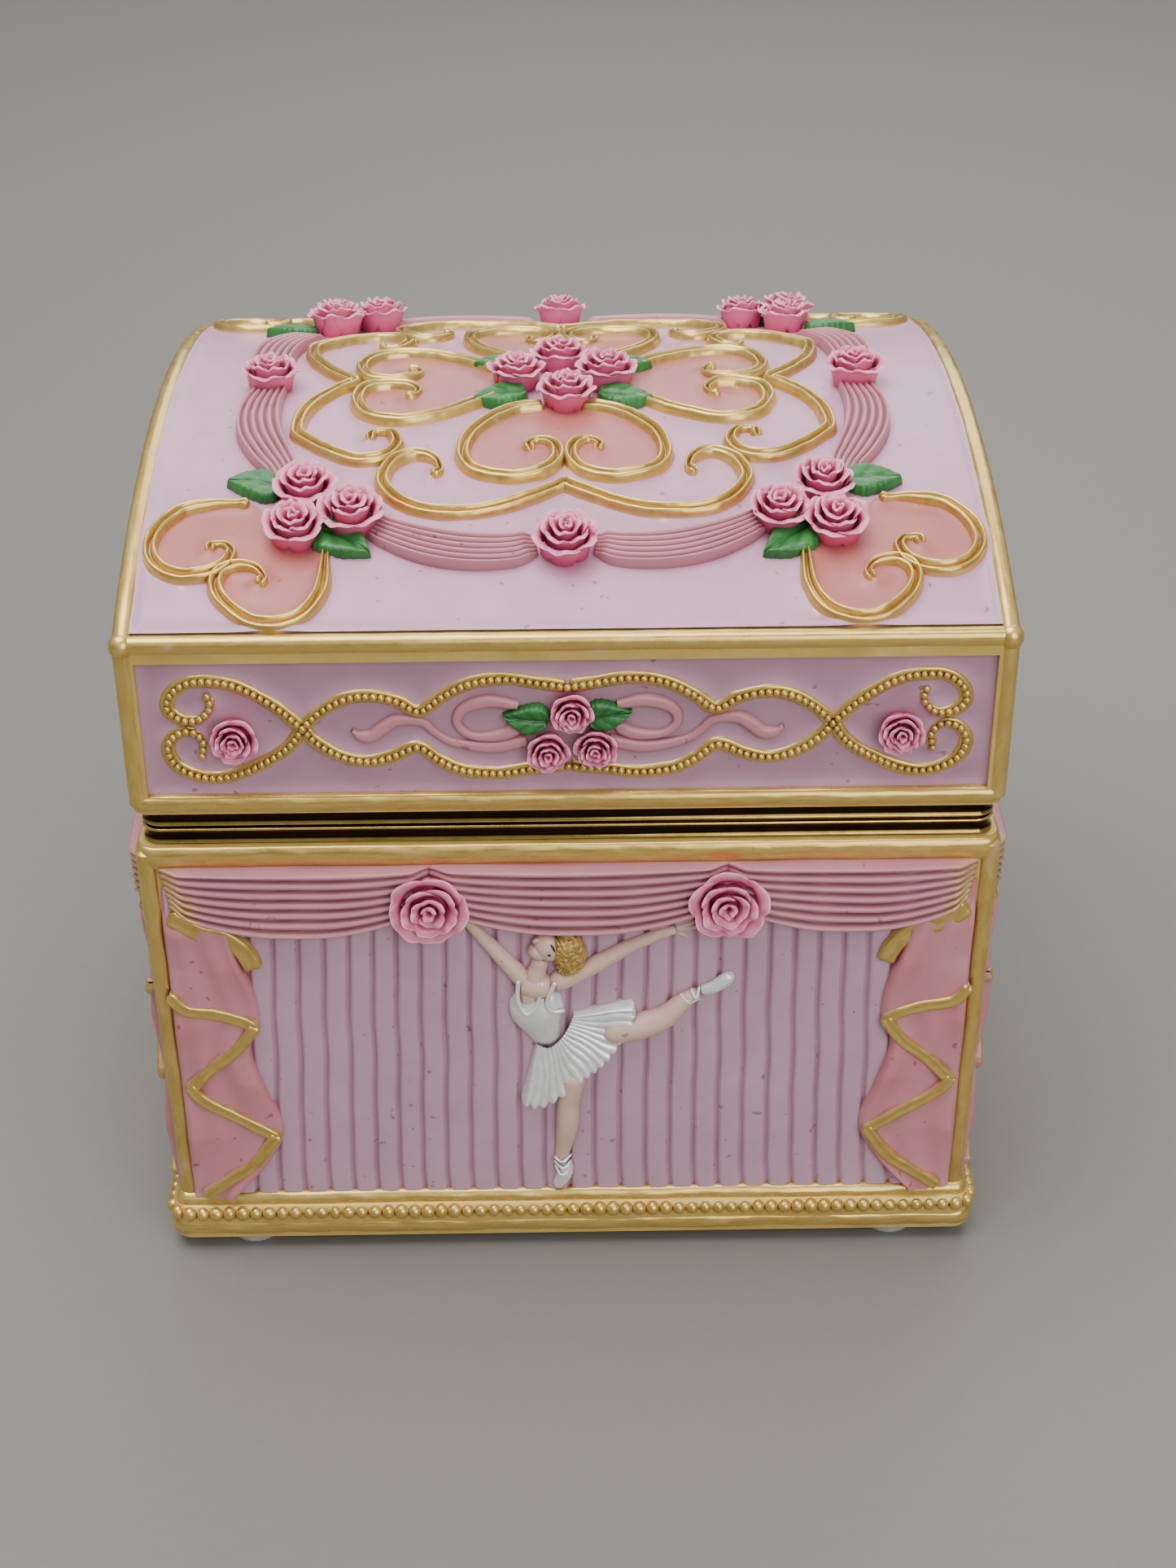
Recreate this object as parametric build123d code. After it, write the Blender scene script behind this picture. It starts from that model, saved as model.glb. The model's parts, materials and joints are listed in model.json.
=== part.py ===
from build123d import *
import math
import os

# Ballerina jewellery box: a cast resin case on four bumper feet, a domed resin lid on a
# metal bezel hinge, a wind-up musical movement under a velvet deck and a turning dancer.
# Millimetres. +Z is up, -Y is the front, the origin is on the ground under the middle.

# --- overall sizes -----------------------------------------------------------------------
LID_WIDTH = 150.0
LID_DEPTH = 146.0
FOOT_HEIGHT = 3.0
PLINTH_HEIGHT = 9.2
PANEL_HEIGHT = 78.1
BEZEL_BAND = 3.15
BEZEL_GAP = 0.4
LID_SIDE_HEIGHT = 32.3
DOME_RISE = 15.9

# --- shells ------------------------------------------------------------------------------
CASE_WALL = 5.0
CASE_TAPER = 1.1
PLINTH_OVERHANG = 2.6
PLINTH_BAND = 7.2
UNDERSIDE_RING = 12.0
FLOOR_RISE = 10.0
FLOOR_THICKNESS = 3.0
LID_WALL = 5.0
ROOF_THICKNESS = 4.5
CORNER_ROUND = 3.0
FRAME_WIDTH = 3.2
PANEL_RECESS = 1.6
BEZEL_INSET = 1.6
BEZEL_WIDTH = 4.4
FIT = 0.3

# --- base and feet -----------------------------------------------------------------------
FOOT_RADIUS = 5.0
FOOT_EDGE_GAP = 1.3
FOOT_SPACING = 122.0
BASE_PLATE_THICKNESS = 2.0
BASE_LEDGE = 3.0
KEY_HOLE_RADIUS = 21.0
SCREW_RADIUS = 1.2
SCREW_HEAD_RADIUS = 2.4
SCREW_HEAD_HEIGHT = 1.2
SCREW_LENGTH = 7.0
SCREW_INSET = 7.0

# --- inside ------------------------------------------------------------------------------
DECK_RISE = 26.0
DECK_THICKNESS = 2.0
CORNER_POST = 9.0
LINING_THICKNESS = 1.2
DIVIDER_THICKNESS = 2.5
DIVIDER_HEIGHT = 27.0
AISLE_WIDTH = 54.0
STAGE_Y = 18.0
STAGE_RADIUS = 24.0
STAGE_HEIGHT = 4.0
TURNTABLE_RADIUS = 16.0
TURNTABLE_THICKNESS = 2.0
TURNTABLE_LIFT = 2.5
DANCER_HEIGHT = 62.0
TUTU_RADIUS = 14.0
MIRROR_WIDTH = 100.0
MIRROR_DEPTH = 78.0
MIRROR_THICKNESS = 2.0
LID_BOARD_DROP = 3.3
LID_BOARD_THICKNESS = 2.0
LID_LEDGE = 3.0
MIRROR_RIM = 4.0

# --- hinge -------------------------------------------------------------------------------
KNUCKLE_RADIUS = 2.2
KNUCKLE_LENGTH = 10.0
KNUCKLE_COUNT = 5
KNUCKLE_GAP = 0.3
PIN_RADIUS = 1.0
RUNNING_FIT = 0.05
HINGE_STAND_OFF = 2.6
LEAF_THICKNESS = 1.6

# --- movement ----------------------------------------------------------------------------
BEDPLATE_THICKNESS = 2.5
BARREL_RADIUS = 12.0
BARREL_WALL = 0.8
BARREL_HEIGHT = 12.5
BARREL_LIFT = 2.0
CROWN_TEETH = 44
CROWN_PITCH_RADIUS = BARREL_RADIUS + 2.0
CROWN_FLANGE = 1.0
PINION_TEETH = 11
TOOTH_THICKNESS = 0.45
ADDENDUM = 0.55
DEDENDUM = 1.1
PINION_WIDTH = 1.6
CYLINDER_RADIUS = 6.5
CYLINDER_LENGTH = 22.0
CYLINDER_SHAFT_RADIUS = 1.0
MELODY_PINS = 54
MELODY_PIN_HEIGHT = 0.4
MELODY_PIN_RADIUS = 0.2
COMB_TEETH = 18
COMB_CLEARANCE = 0.7
COMB_THICKNESS = 1.0
COMB_LENGTH = 14.0
COMB_SLIT = 0.25
BEARING_THICKNESS = 1.0
BEARING_GAP = 0.8
TRAIN_PITCH = 1.5
GREAT_WHEEL_TEETH = 24
GOVERNOR_PINION_TEETH = 8
GOVERNOR_WHEEL_TEETH = 20
GOVERNOR_WHEEL_RADIUS = 4.5
WORM_RADIUS = 1.2
WORM_GAP = 0.3
FAN_RADIUS = 5.0
FAN_HEIGHT = 3.0
ARBOR_RADIUS = 2.5
SPINDLE_RADIUS = 2.0
SPRING_TURNS = 4
KEY_WING = 11.0
KEY_HEIGHT = 8.0
KEY_THICKNESS = 2.4

# --- lid stop pin ------------------------------------------------------------------------
STOP_PIN_RADIUS = 1.5
STOP_PIN_TRAVEL = 3.0
STOP_PIN_WALL_GAP = 5.0
STOP_COLLAR_RADIUS = 3.2
STOP_SPRING_RINGS = 6
STOP_WIRE_RADIUS = 0.35
STRIKER_WIDTH = 8.0

# --- relief ornament ---------------------------------------------------------------------
SWAG_RELIEF = 2.0
HEART_RELIEF = 1.8
SCROLL_RELIEF = 1.6
ROSE_RADIUS = 5.2
ROSE_HEIGHT = 7.0
VALANCE_ROSE_RADIUS = 6.6
VALANCE_ROSE_HEIGHT = 6.5
VALANCE_ROSES = (-24.5, 27.8)
VALANCE_ROSE_DROP = 11.5
BAND_ROSE_RADIUS = 4.2
BAND_ROSE_HEIGHT = 4.5
LEAF_LENGTH = 9.0
CLUSTER = ((45.0, 40.0), (46.2, 50.0), (36.8, 46.8))
CENTRE_ROSES = ((0.5, -9.0), (-8.6, 0.0), (8.2, 0.0), (-0.5, 9.0))
SIDE_ROSE_X = 54.5
FRONT_ROSE_Y = 53.5
LEAF_STEMS = ((48.0, 38.6, -8), (42.5, 48.5, 160))
CENTRE_LEAVES = ((9.5, -7.0, -20), (-9.5, -7.0, 200))
CENTRE_HEART = 25.0
CENTRE_HEART_TIP = 11.0
CORNER_HEART = 28.0
CORNER_HEART_TIP = 43.0
LID_SWAG_OFFSET = 19.5
LID_SWAG_WIDTH = 29.0
LID_SWAG_DROP = 8.5
LID_SWAG_BAND = 6.5
SIDE_SWAG_REACH = 52.0
FRONT_SWAG_REACH = 49.5
VALANCE_SWAG_DROP = 14.5
VALANCE_SWAG_BAND = 11.5
VALANCE_SWAG_TOP = 4.5
BAND_WIDTH = 1.8
BAND_LOOP = (12.4, 10.4)
BAND_LOOP_X = LID_DEPTH / 2 - 17.5
BAND_MIDDLE = (BAND_LOOP_X - 12.0, 9.0)
BAND_ROSES = ((1.8, 2.0), (-1.6, -4.6), (7.0, -2.8), (-BAND_LOOP_X, 0.0), (BAND_LOOP_X, 0.0))

# --- derived levels ----------------------------------------------------------------------
PLINTH_BOTTOM = FOOT_HEIGHT
PANEL_FOOT = PLINTH_BOTTOM + PLINTH_HEIGHT
CASE_TOP = PANEL_FOOT + PANEL_HEIGHT
CASE_BEZEL_TOP = CASE_TOP + BEZEL_BAND
LID_BEZEL_BOTTOM = CASE_BEZEL_TOP + BEZEL_GAP
LID_BOTTOM = LID_BEZEL_BOTTOM + BEZEL_BAND
LID_EDGE = LID_BOTTOM + LID_SIDE_HEIGHT
CREST = LID_EDGE + DOME_RISE
FLOOR_BOTTOM = PLINTH_BOTTOM + FLOOR_RISE
FLOOR_TOP = FLOOR_BOTTOM + FLOOR_THICKNESS
DECK_BOTTOM = FLOOR_TOP + DECK_RISE
DECK_TOP = DECK_BOTTOM + DECK_THICKNESS
BEDPLATE_TOP = FLOOR_TOP + BEDPLATE_THICKNESS
CASE_INNER_X = LID_WIDTH / 2 - CASE_TAPER - CASE_WALL
CASE_INNER_Y = LID_DEPTH / 2 - CASE_TAPER - CASE_WALL
LID_INNER_X = LID_WIDTH / 2 - LID_WALL
LID_INNER_Y = LID_DEPTH / 2 - LID_WALL
LID_BOARD_TOP = LID_EDGE - LID_BOARD_DROP
LID_BOARD_BOTTOM = LID_BOARD_TOP - LID_BOARD_THICKNESS
HINGE_Y = LID_DEPTH / 2 - BEZEL_INSET + HINGE_STAND_OFF
HINGE_Z = CASE_BEZEL_TOP + BEZEL_GAP / 2

# --- derived places in the movement ------------------------------------------------------
BARREL_BOTTOM = BEDPLATE_TOP + BARREL_LIFT
CROWN_PITCH_Z = BARREL_BOTTOM + CROWN_FLANGE + DEDENDUM
PINION_RADIUS = CROWN_PITCH_RADIUS * PINION_TEETH / CROWN_TEETH
CYLINDER_Z = CROWN_PITCH_Z + PINION_RADIUS
BARREL_TOP = BARREL_BOTTOM + CROWN_FLANGE + BARREL_HEIGHT
PINION_X = CROWN_PITCH_RADIUS - PINION_WIDTH / 2
BEARING_X = PINION_X + PINION_WIDTH + BEARING_GAP
CYLINDER_X = BEARING_X + BEARING_THICKNESS + BEARING_GAP
GREAT_WHEEL_X = CYLINDER_X + CYLINDER_LENGTH + BEARING_GAP
FAR_BEARING_X = GREAT_WHEEL_X + 1.2 + BEARING_GAP
GREAT_WHEEL_RADIUS = GREAT_WHEEL_TEETH * TRAIN_PITCH / (2 * math.pi)
GOVERNOR_PINION_RADIUS = GOVERNOR_PINION_TEETH * TRAIN_PITCH / (2 * math.pi)
GOVERNOR_Y = STAGE_Y + GREAT_WHEEL_RADIUS + GOVERNOR_PINION_RADIUS
GOVERNOR_WHEEL_X = FAR_BEARING_X + BEARING_THICKNESS + BEARING_GAP
OUTER_BEARING_X = GOVERNOR_WHEEL_X + 1.2 + BEARING_GAP
FAN_X = GOVERNOR_WHEEL_X + 0.6
FAN_Y = GOVERNOR_Y + GOVERNOR_WHEEL_RADIUS + ADDENDUM + WORM_GAP + WORM_RADIUS
FAN_BOTTOM = CYLINDER_Z + GOVERNOR_WHEEL_RADIUS + 2.0
FAN_TOP = FAN_BOTTOM + FAN_HEIGHT
FAN_POST_X = FAN_X + FAN_RADIUS + 1.0
TURNTABLE_BOTTOM = DECK_TOP + TURNTABLE_LIFT
TURNTABLE_TOP = TURNTABLE_BOTTOM + TURNTABLE_THICKNESS
STOP_X = FAN_X
STOP_Y = CASE_INNER_Y - STOP_PIN_WALL_GAP
STOP_PIN_TOP = LID_BEZEL_BOTTOM - FIT
COMB_TIP_Y = STAGE_Y - CYLINDER_RADIUS - COMB_CLEARANCE


# --- shared shapes -----------------------------------------------------------------------
def slab(x0, x1, y0, y1, z0, z1):
    """Box between two corners."""
    return Pos((x0 + x1) / 2, (y0 + y1) / 2, (z0 + z1) / 2) * Box(x1 - x0, y1 - y0, z1 - z0)


def rod(x, y, z0, z1, radius):
    """Upright cylinder."""
    return Pos(x, y, (z0 + z1) / 2) * Cylinder(radius, z1 - z0)


def rod_x(x0, x1, y, z, radius):
    """Cylinder along X."""
    return Pos((x0 + x1) / 2, y, z) * Rot(0, 90, 0) * Cylinder(radius, x1 - x0)


def rounded(width, depth, z0, z1, radius=CORNER_ROUND):
    """Upright rounded rectangle prism about the Z axis."""
    return Pos(0, 0, z0) * extrude(RectangleRounded(width, depth, radius), amount=z1 - z0)


def ring(width, depth, wall, z0, z1, radius=CORNER_ROUND):
    """Rounded rectangular ring with the given outer size and wall."""
    hole = slab(wall - width / 2, width / 2 - wall, wall - depth / 2, depth / 2 - wall, z0 - 1, z1 + 1)
    return rounded(width, depth, z0, z1, radius) - hole


def gear_x(teeth, pitch_radius, x0, x1, y, z, phase=0.0):
    """Spur gear on an X axis with thin straight teeth, first tooth at `phase` degrees from down."""
    root = pitch_radius - DEDENDUM
    wheel = Cylinder(root, x1 - x0)
    tip = pitch_radius + ADDENDUM
    for index in range(teeth):
        tooth = Rot(0, 0, index * 360 / teeth + phase)
        length = tip - root + 0.3
        wheel += tooth * Pos(tip - length / 2, 0, 0) * Box(length, TOOTH_THICKNESS, x1 - x0)
    return Pos((x0 + x1) / 2, y, z) * Rot(0, 90, 0) * wheel


def group(parts):
    """Separate solids in one node."""
    return Compound(children=[piece for part in parts for piece in part.solids()])


def union(parts):
    """Fuse a list of solids."""
    result = parts[0]
    for part in parts[1:]:
        result += part
    return result


def dome_block(offset, half_x, half_y, bottom):
    """Solid under the barrel-curved lid top, raised by `offset`, inside the given half sizes."""
    half = LID_DEPTH / 2
    radius = (half**2 + DOME_RISE**2) / (2 * DOME_RISE)
    barrel = Pos(0, 0, CREST - radius) * Rot(0, 90, 0) * Cylinder(radius + offset, 4 * half_x)
    return barrel & slab(-half_x, half_x, -half_y, half_y, bottom, CREST + 20)


def dome_height(y):
    """Height of the lid top above the ground at depth y."""
    half = LID_DEPTH / 2
    radius = (half**2 + DOME_RISE**2) / (2 * DOME_RISE)
    return CREST - radius + math.sqrt(radius**2 - y**2)


def dome_tilt(y):
    """Angle in degrees between the lid top's normal at depth y and +Z."""
    half = LID_DEPTH / 2
    radius = (half**2 + DOME_RISE**2) / (2 * DOME_RISE)
    return math.degrees(math.asin(y / radius))


def face_planes(foot, half_x, half_y, lean):
    """The four outer faces, each as a plane at its foot's middle: X across, Y up, Z outwards."""
    planes = []
    for turn, reach in ((0, half_y), (90, half_x), (180, half_y), (270, half_x)):
        angle = math.radians(turn)
        outward = Vector(math.sin(angle), -math.cos(angle), -lean)
        across = Vector(math.cos(angle), math.sin(angle), 0)
        origin = Vector(math.sin(angle) * reach, -math.cos(angle) * reach, foot)
        planes.append(Plane(origin, x_dir=across, z_dir=outward.normalized()))
    return planes


def rose(radius, height):
    """Low rose: a turned bud on the plane z=0."""
    outline = Polyline(
        (0, 0),
        (radius * 0.9, 0),
        (radius, height * 0.3),
        (radius * 0.8, height * 0.62),
        (radius * 0.62, height * 0.66),
        (radius * 0.42, height),
        (0, height),
        (0, 0),
    )
    return revolve(Plane.XZ * make_face(outline), Axis.Z)


def leaf(length, height):
    """Pointed leaf lying on z=0, its stem end at the origin and its tip along +X."""
    outline = ThreePointArc((0, 0), (length / 2, length * 0.24), (length, 0))
    outline += ThreePointArc((length, 0), (length / 2, -length * 0.24), (0, 0))
    return extrude(make_face(outline), amount=height)


def heart_face(size):
    """Heart with its tip at the origin and its two lobes towards -Y."""
    lobe = size * 0.29
    cleft = -size * 0.72
    outline = Polyline((0, 0), (-size * 0.52, -size * 0.5))
    outline += ThreePointArc((-size * 0.52, -size * 0.5), (-lobe, -size), (0, cleft))
    outline += ThreePointArc((0, cleft), (lobe, -size), (size * 0.52, -size * 0.5))
    outline += Polyline((size * 0.52, -size * 0.5), (0, 0))
    return make_face(outline)


def swag_face(width, drop, band):
    """Crescent swag hung from two points on y=0, sagging by `drop`."""
    outline = ThreePointArc((-width / 2, 0), (0, -drop), (width / 2, 0))
    outline += ThreePointArc((width / 2, 0), (0, band - drop), (-width / 2, 0))
    return make_face(outline)


# --- case --------------------------------------------------------------------------------
def tapered(shrink, bottom, top):
    """Case-side taper prism, drawn in by `shrink` all round."""
    foot_w = LID_WIDTH - 2 * (CASE_TAPER + 0.3 + shrink)
    foot_d = LID_DEPTH - 2 * (CASE_TAPER + 0.3 + shrink)
    low = Pos(0, 0, bottom) * RectangleRounded(foot_w, foot_d, CORNER_ROUND)
    high = Pos(0, 0, top) * RectangleRounded(foot_w + 2 * CASE_TAPER, foot_d + 2 * CASE_TAPER, CORNER_ROUND)
    return loft([low, high])


def plinth():
    width = LID_WIDTH + PLINTH_OVERHANG
    depth = LID_DEPTH + PLINTH_OVERHANG
    band = rounded(width, depth, PLINTH_BOTTOM, PLINTH_BOTTOM + PLINTH_BAND, CORNER_ROUND + 1)
    band = fillet(band.faces().sort_by(Axis.Z)[-1].edges(), 1.5)
    low = Pos(0, 0, PLINTH_BOTTOM + PLINTH_BAND - 0.5) * RectangleRounded(width - 4, depth - 4, CORNER_ROUND)
    high = Pos(0, 0, PANEL_FOOT) * RectangleRounded(
        LID_WIDTH - 2 * CASE_TAPER, LID_DEPTH - 2 * CASE_TAPER, CORNER_ROUND
    )
    return band + loft([low, high])


def panel_windows(bottom, top):
    """Prisms through all four faces inside the raised frame."""
    across = LID_WIDTH / 2 - CASE_TAPER - FRAME_WIDTH
    along = LID_DEPTH / 2 - CASE_TAPER - FRAME_WIDTH
    reach = LID_WIDTH
    low = bottom + FRAME_WIDTH
    high = top - FRAME_WIDTH
    return slab(-across, across, -reach, reach, low, high) + slab(-reach, reach, -along, along, low, high)


def case_screw_points():
    x = LID_WIDTH / 2 - UNDERSIDE_RING - SCREW_INSET + BASE_LEDGE
    y = LID_DEPTH / 2 - UNDERSIDE_RING - SCREW_INSET + BASE_LEDGE
    return [(sx * x, sy * y) for sx in (-1, 1) for sy in (-1, 1)]


def bedplate_screw_points():
    return [(-14.0, STAGE_Y + 15), (-14.0, STAGE_Y - 15), (50.0, STAGE_Y - 17)]


def case_shell():
    outer = tapered(0, PANEL_FOOT, CASE_TOP)
    core = tapered(PANEL_RECESS, PANEL_FOOT, CASE_TOP)
    body = outer - ((outer - core) & panel_windows(PANEL_FOOT - FRAME_WIDTH, CASE_TOP))
    body += plinth()
    body -= slab(-CASE_INNER_X, CASE_INNER_X, -CASE_INNER_Y, CASE_INNER_Y, FLOOR_TOP, CASE_TOP + 1)
    ring_x = LID_WIDTH / 2 - UNDERSIDE_RING
    ring_y = LID_DEPTH / 2 - UNDERSIDE_RING
    body -= slab(-ring_x, ring_x, -ring_y, ring_y, PLINTH_BOTTOM - 1, PLINTH_BOTTOM + BASE_PLATE_THICKNESS)
    hollow_x = ring_x - BASE_LEDGE
    hollow_y = ring_y - BASE_LEDGE
    body -= slab(-hollow_x, hollow_x, -hollow_y, hollow_y, PLINTH_BOTTOM - 1, FLOOR_BOTTOM)
    plate_top = PLINTH_BOTTOM + BASE_PLATE_THICKNESS
    for x, y in case_screw_points():
        sx = math.copysign(1, x)
        sy = math.copysign(1, y)
        x_span = sorted((x - sx * SCREW_INSET, sx * (hollow_x + 1)))
        y_span = sorted((y - sy * SCREW_INSET, sy * (hollow_y + 1)))
        body += slab(*x_span, *y_span, plate_top, FLOOR_BOTTOM)
        body -= rod(x, y, plate_top - 1, PLINTH_BOTTOM + SCREW_LENGTH, SCREW_RADIUS)
        x_span = sorted((sx * (CASE_INNER_X - CORNER_POST), sx * (CASE_INNER_X + 1)))
        y_span = sorted((sy * (CASE_INNER_Y - CORNER_POST), sy * (CASE_INNER_Y + 1)))
        body += slab(*x_span, *y_span, FLOOR_TOP, DECK_BOTTOM)
    body -= rod(0, STAGE_Y, FLOOR_BOTTOM - 1, FLOOR_TOP + 1, ARBOR_RADIUS + 1.5)
    for x, y in bedplate_screw_points():
        body -= rod(x, y, FLOOR_BOTTOM - 1, FLOOR_TOP + 1, SCREW_RADIUS)
    return body


def base_plate():
    x = LID_WIDTH / 2 - UNDERSIDE_RING - FIT
    y = LID_DEPTH / 2 - UNDERSIDE_RING - FIT
    plate = slab(-x, x, -y, y, PLINTH_BOTTOM, PLINTH_BOTTOM + BASE_PLATE_THICKNESS)
    plate -= rod(0, STAGE_Y, 0, FLOOR_BOTTOM, KEY_HOLE_RADIUS)
    for sx, sy in case_screw_points():
        plate -= rod(sx, sy, 0, FLOOR_BOTTOM, SCREW_RADIUS)
    return plate


def screw_up(x, y, head_top, length):
    """Screw driven upwards, its head under `head_top`."""
    return rod(x, y, head_top, head_top + length, SCREW_RADIUS) + rod(
        x, y, head_top - SCREW_HEAD_HEIGHT, head_top, SCREW_HEAD_RADIUS
    )


def base_screws():
    return group([screw_up(x, y, PLINTH_BOTTOM, SCREW_LENGTH) for x, y in case_screw_points()])


def bumper_feet():
    x = FOOT_SPACING / 2
    y = (LID_DEPTH + PLINTH_OVERHANG) / 2 - FOOT_RADIUS - FOOT_EDGE_GAP
    feet = []
    for sx in (-1, 1):
        for sy in (-1, 1):
            foot = rod(sx * x, sy * y, 0, FOOT_HEIGHT, FOOT_RADIUS)
            feet.append(fillet(foot.faces().sort_by(Axis.Z)[0].edges(), 1.0))
    return group(feet)


def case_bezel():
    return ring(
        LID_WIDTH - 2 * BEZEL_INSET, LID_DEPTH - 2 * BEZEL_INSET, BEZEL_WIDTH, CASE_TOP, CASE_BEZEL_TOP
    )


def case_lining():
    width = 2 * CASE_INNER_X
    depth = 2 * CASE_INNER_Y
    tube = slab(-width / 2, width / 2, -depth / 2, depth / 2, DECK_TOP, CASE_TOP)
    inner_x = width / 2 - LINING_THICKNESS
    inner_y = depth / 2 - LINING_THICKNESS
    return tube - slab(-inner_x, inner_x, -inner_y, inner_y, DECK_TOP - 1, CASE_TOP + 1)


def deck():
    x = CASE_INNER_X - FIT / 2
    y = CASE_INNER_Y - FIT / 2
    board = slab(-x, x, -y, y, DECK_BOTTOM, DECK_TOP)
    board -= rod(0, STAGE_Y, DECK_BOTTOM - 1, DECK_TOP + 1, SPINDLE_RADIUS + 1.5)
    return board - rod(STOP_X, STOP_Y, DECK_BOTTOM - 1, DECK_TOP + 1, STOP_PIN_RADIUS + 1)


def dividers():
    x = AISLE_WIDTH / 2
    inner_y = CASE_INNER_Y - LINING_THICKNESS - FIT
    top = DECK_TOP + DIVIDER_HEIGHT
    sides = [
        slab(*sorted((side * x, side * (x + DIVIDER_THICKNESS))), -inner_y, inner_y, DECK_TOP, top)
        for side in (-1, 1)
    ]
    front_y = STAGE_Y - STAGE_RADIUS - 4
    return sides, slab(-x, x, front_y - DIVIDER_THICKNESS, front_y, DECK_TOP, top)


def stage_ring():
    outer = rod(0, STAGE_Y, DECK_TOP, DECK_TOP + STAGE_HEIGHT, STAGE_RADIUS)
    outer = fillet(outer.faces().sort_by(Axis.Z)[-1].edges(), 1.2)
    return outer - rod(0, STAGE_Y, DECK_TOP - 1, CASE_TOP, TURNTABLE_RADIUS + 1)


# --- ornament on the case faces ----------------------------------------------------------
CASE_LEAN = CASE_TAPER / PANEL_HEIGHT
CURTAIN_THICKNESS = PANEL_RECESS - 0.4


def curtains():
    outer = tapered(PANEL_RECESS - CURTAIN_THICKNESS, PANEL_FOOT, CASE_TOP)
    core = tapered(PANEL_RECESS, PANEL_FOOT, CASE_TOP)
    windows = panel_windows(PANEL_FOOT - FRAME_WIDTH, CASE_TOP)
    return (outer - core) & windows


def case_faces():
    inset = CASE_TAPER + 0.3 + PANEL_RECESS - CURTAIN_THICKNESS
    return face_planes(PANEL_FOOT, LID_WIDTH / 2 - inset, LID_DEPTH / 2 - inset, CASE_LEAN)


def valance_roses():
    up = PANEL_HEIGHT - VALANCE_ROSE_DROP
    return group([
        plane * Pos(across, up, 0) * rose(VALANCE_ROSE_RADIUS, VALANCE_ROSE_HEIGHT)
        for plane in case_faces()
        for across in VALANCE_ROSES
    ])


def valances():
    up = PANEL_HEIGHT - VALANCE_ROSE_DROP
    roses = union([
        Pos(across, up, 0) * Cylinder(VALANCE_ROSE_RADIUS + FIT, 40) for across in VALANCE_ROSES
    ])
    edge = LID_DEPTH / 2 - FRAME_WIDTH - 2 * CASE_TAPER
    hangs = (-edge, *VALANCE_ROSES, edge)
    swags = []
    for left, right in zip(hangs, hangs[1:]):
        crescent = swag_face(right - left - 1, VALANCE_SWAG_DROP, VALANCE_SWAG_BAND)
        place = Pos((left + right) / 2, PANEL_HEIGHT - VALANCE_SWAG_TOP, 0)
        swags.append(place * extrude(crescent, amount=SWAG_RELIEF) - roses)
    return group([plane * swag for plane in case_faces() for swag in swags])


def relief_limb(start, end, thick, thin):
    """Tapered round bar lying on the face plane between two (across, up) points."""
    run = math.hypot(end[0] - start[0], end[1] - start[1])
    angle = math.degrees(math.atan2(end[1] - start[1], end[0] - start[0]))
    bar = Rot(0, 0, angle) * Pos(run / 2, 0, 0) * Rot(0, 90, 0) * Cone(thick, thin, run)
    return Pos(start[0], start[1], 0) * bar


def dancer_relief():
    """Ballerina in arabesque, half round, on the front face."""
    waist = (-0.2, 40.2)
    figure = relief_limb(waist, (-4.4, 47.5), 2.6, 3.4)
    figure += Pos(-2.4, 54.4, 0) * Sphere(4.0)
    figure += relief_limb((-7.0, 48.2), (-17.0, 58.5), 1.6, 1.0)
    figure += relief_limb((-2.0, 47.5), (21.5, 57.5), 1.7, 1.0)
    figure += relief_limb((4.0, 36.5), (27.5, 47.8), 2.4, 1.2)
    figure += relief_limb((1.0, 33.0), (-2.6, 2.0), 2.4, 1.1)
    skirt = ThreePointArc((11.9, 41.9), (5.7, 31.0), (-0.3, 20.7)) + Line((-0.3, 20.7), (-7.8, 20.6))
    skirt += Line((-7.8, 20.6), waist) + Line(waist, (11.9, 41.9))
    figure += extrude(make_face(skirt), amount=3.0)
    figure &= Pos(0, 30, 5) * Box(60, 70, 10)
    return case_faces()[0] * figure


# --- lid ---------------------------------------------------------------------------------
def lid_shell():
    body = dome_block(0, LID_WIDTH / 2, LID_DEPTH / 2, LID_BOTTOM)
    body = fillet(body.edges().filter_by(Axis.Z), CORNER_ROUND)
    core_x = LID_WIDTH / 2 - PANEL_RECESS
    core_y = LID_DEPTH / 2 - PANEL_RECESS
    across = LID_WIDTH / 2 - FRAME_WIDTH
    along = LID_DEPTH / 2 - FRAME_WIDTH
    low = LID_BOTTOM + FRAME_WIDTH
    high = LID_EDGE - FRAME_WIDTH
    for side in (-1, 1):
        body -= slab(-across, across, *sorted((side * core_y, side * LID_DEPTH)), low, high)
        body -= slab(*sorted((side * core_x, side * LID_WIDTH)), -along, along, low, high)
    body -= slab(-LID_INNER_X, LID_INNER_X, -LID_INNER_Y, LID_INNER_Y, LID_BOTTOM - 1, LID_BOARD_TOP)
    inner_x = LID_INNER_X - LID_LEDGE
    inner_y = LID_INNER_Y - LID_LEDGE
    return body - dome_block(-ROOF_THICKNESS, inner_x, inner_y, LID_BOTTOM - 1)


def lid_bezel():
    top = LID_BEZEL_BOTTOM + BEZEL_BAND
    band = ring(
        LID_WIDTH - 2 * BEZEL_INSET, LID_DEPTH - 2 * BEZEL_INSET, BEZEL_WIDTH, LID_BEZEL_BOTTOM, top
    )
    reach = LID_DEPTH / 2 - BEZEL_INSET - BEZEL_WIDTH + 1
    left = STOP_X - STRIKER_WIDTH / 2
    striker = slab(left, left + STRIKER_WIDTH, STOP_Y - STOP_PIN_RADIUS - 1, reach, LID_BEZEL_BOTTOM, top)
    return band + striker


def lid_board():
    x = LID_INNER_X - FIT
    y = LID_INNER_Y - FIT
    return slab(-x, x, -y, y, LID_BOARD_BOTTOM, LID_BOARD_TOP)


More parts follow.
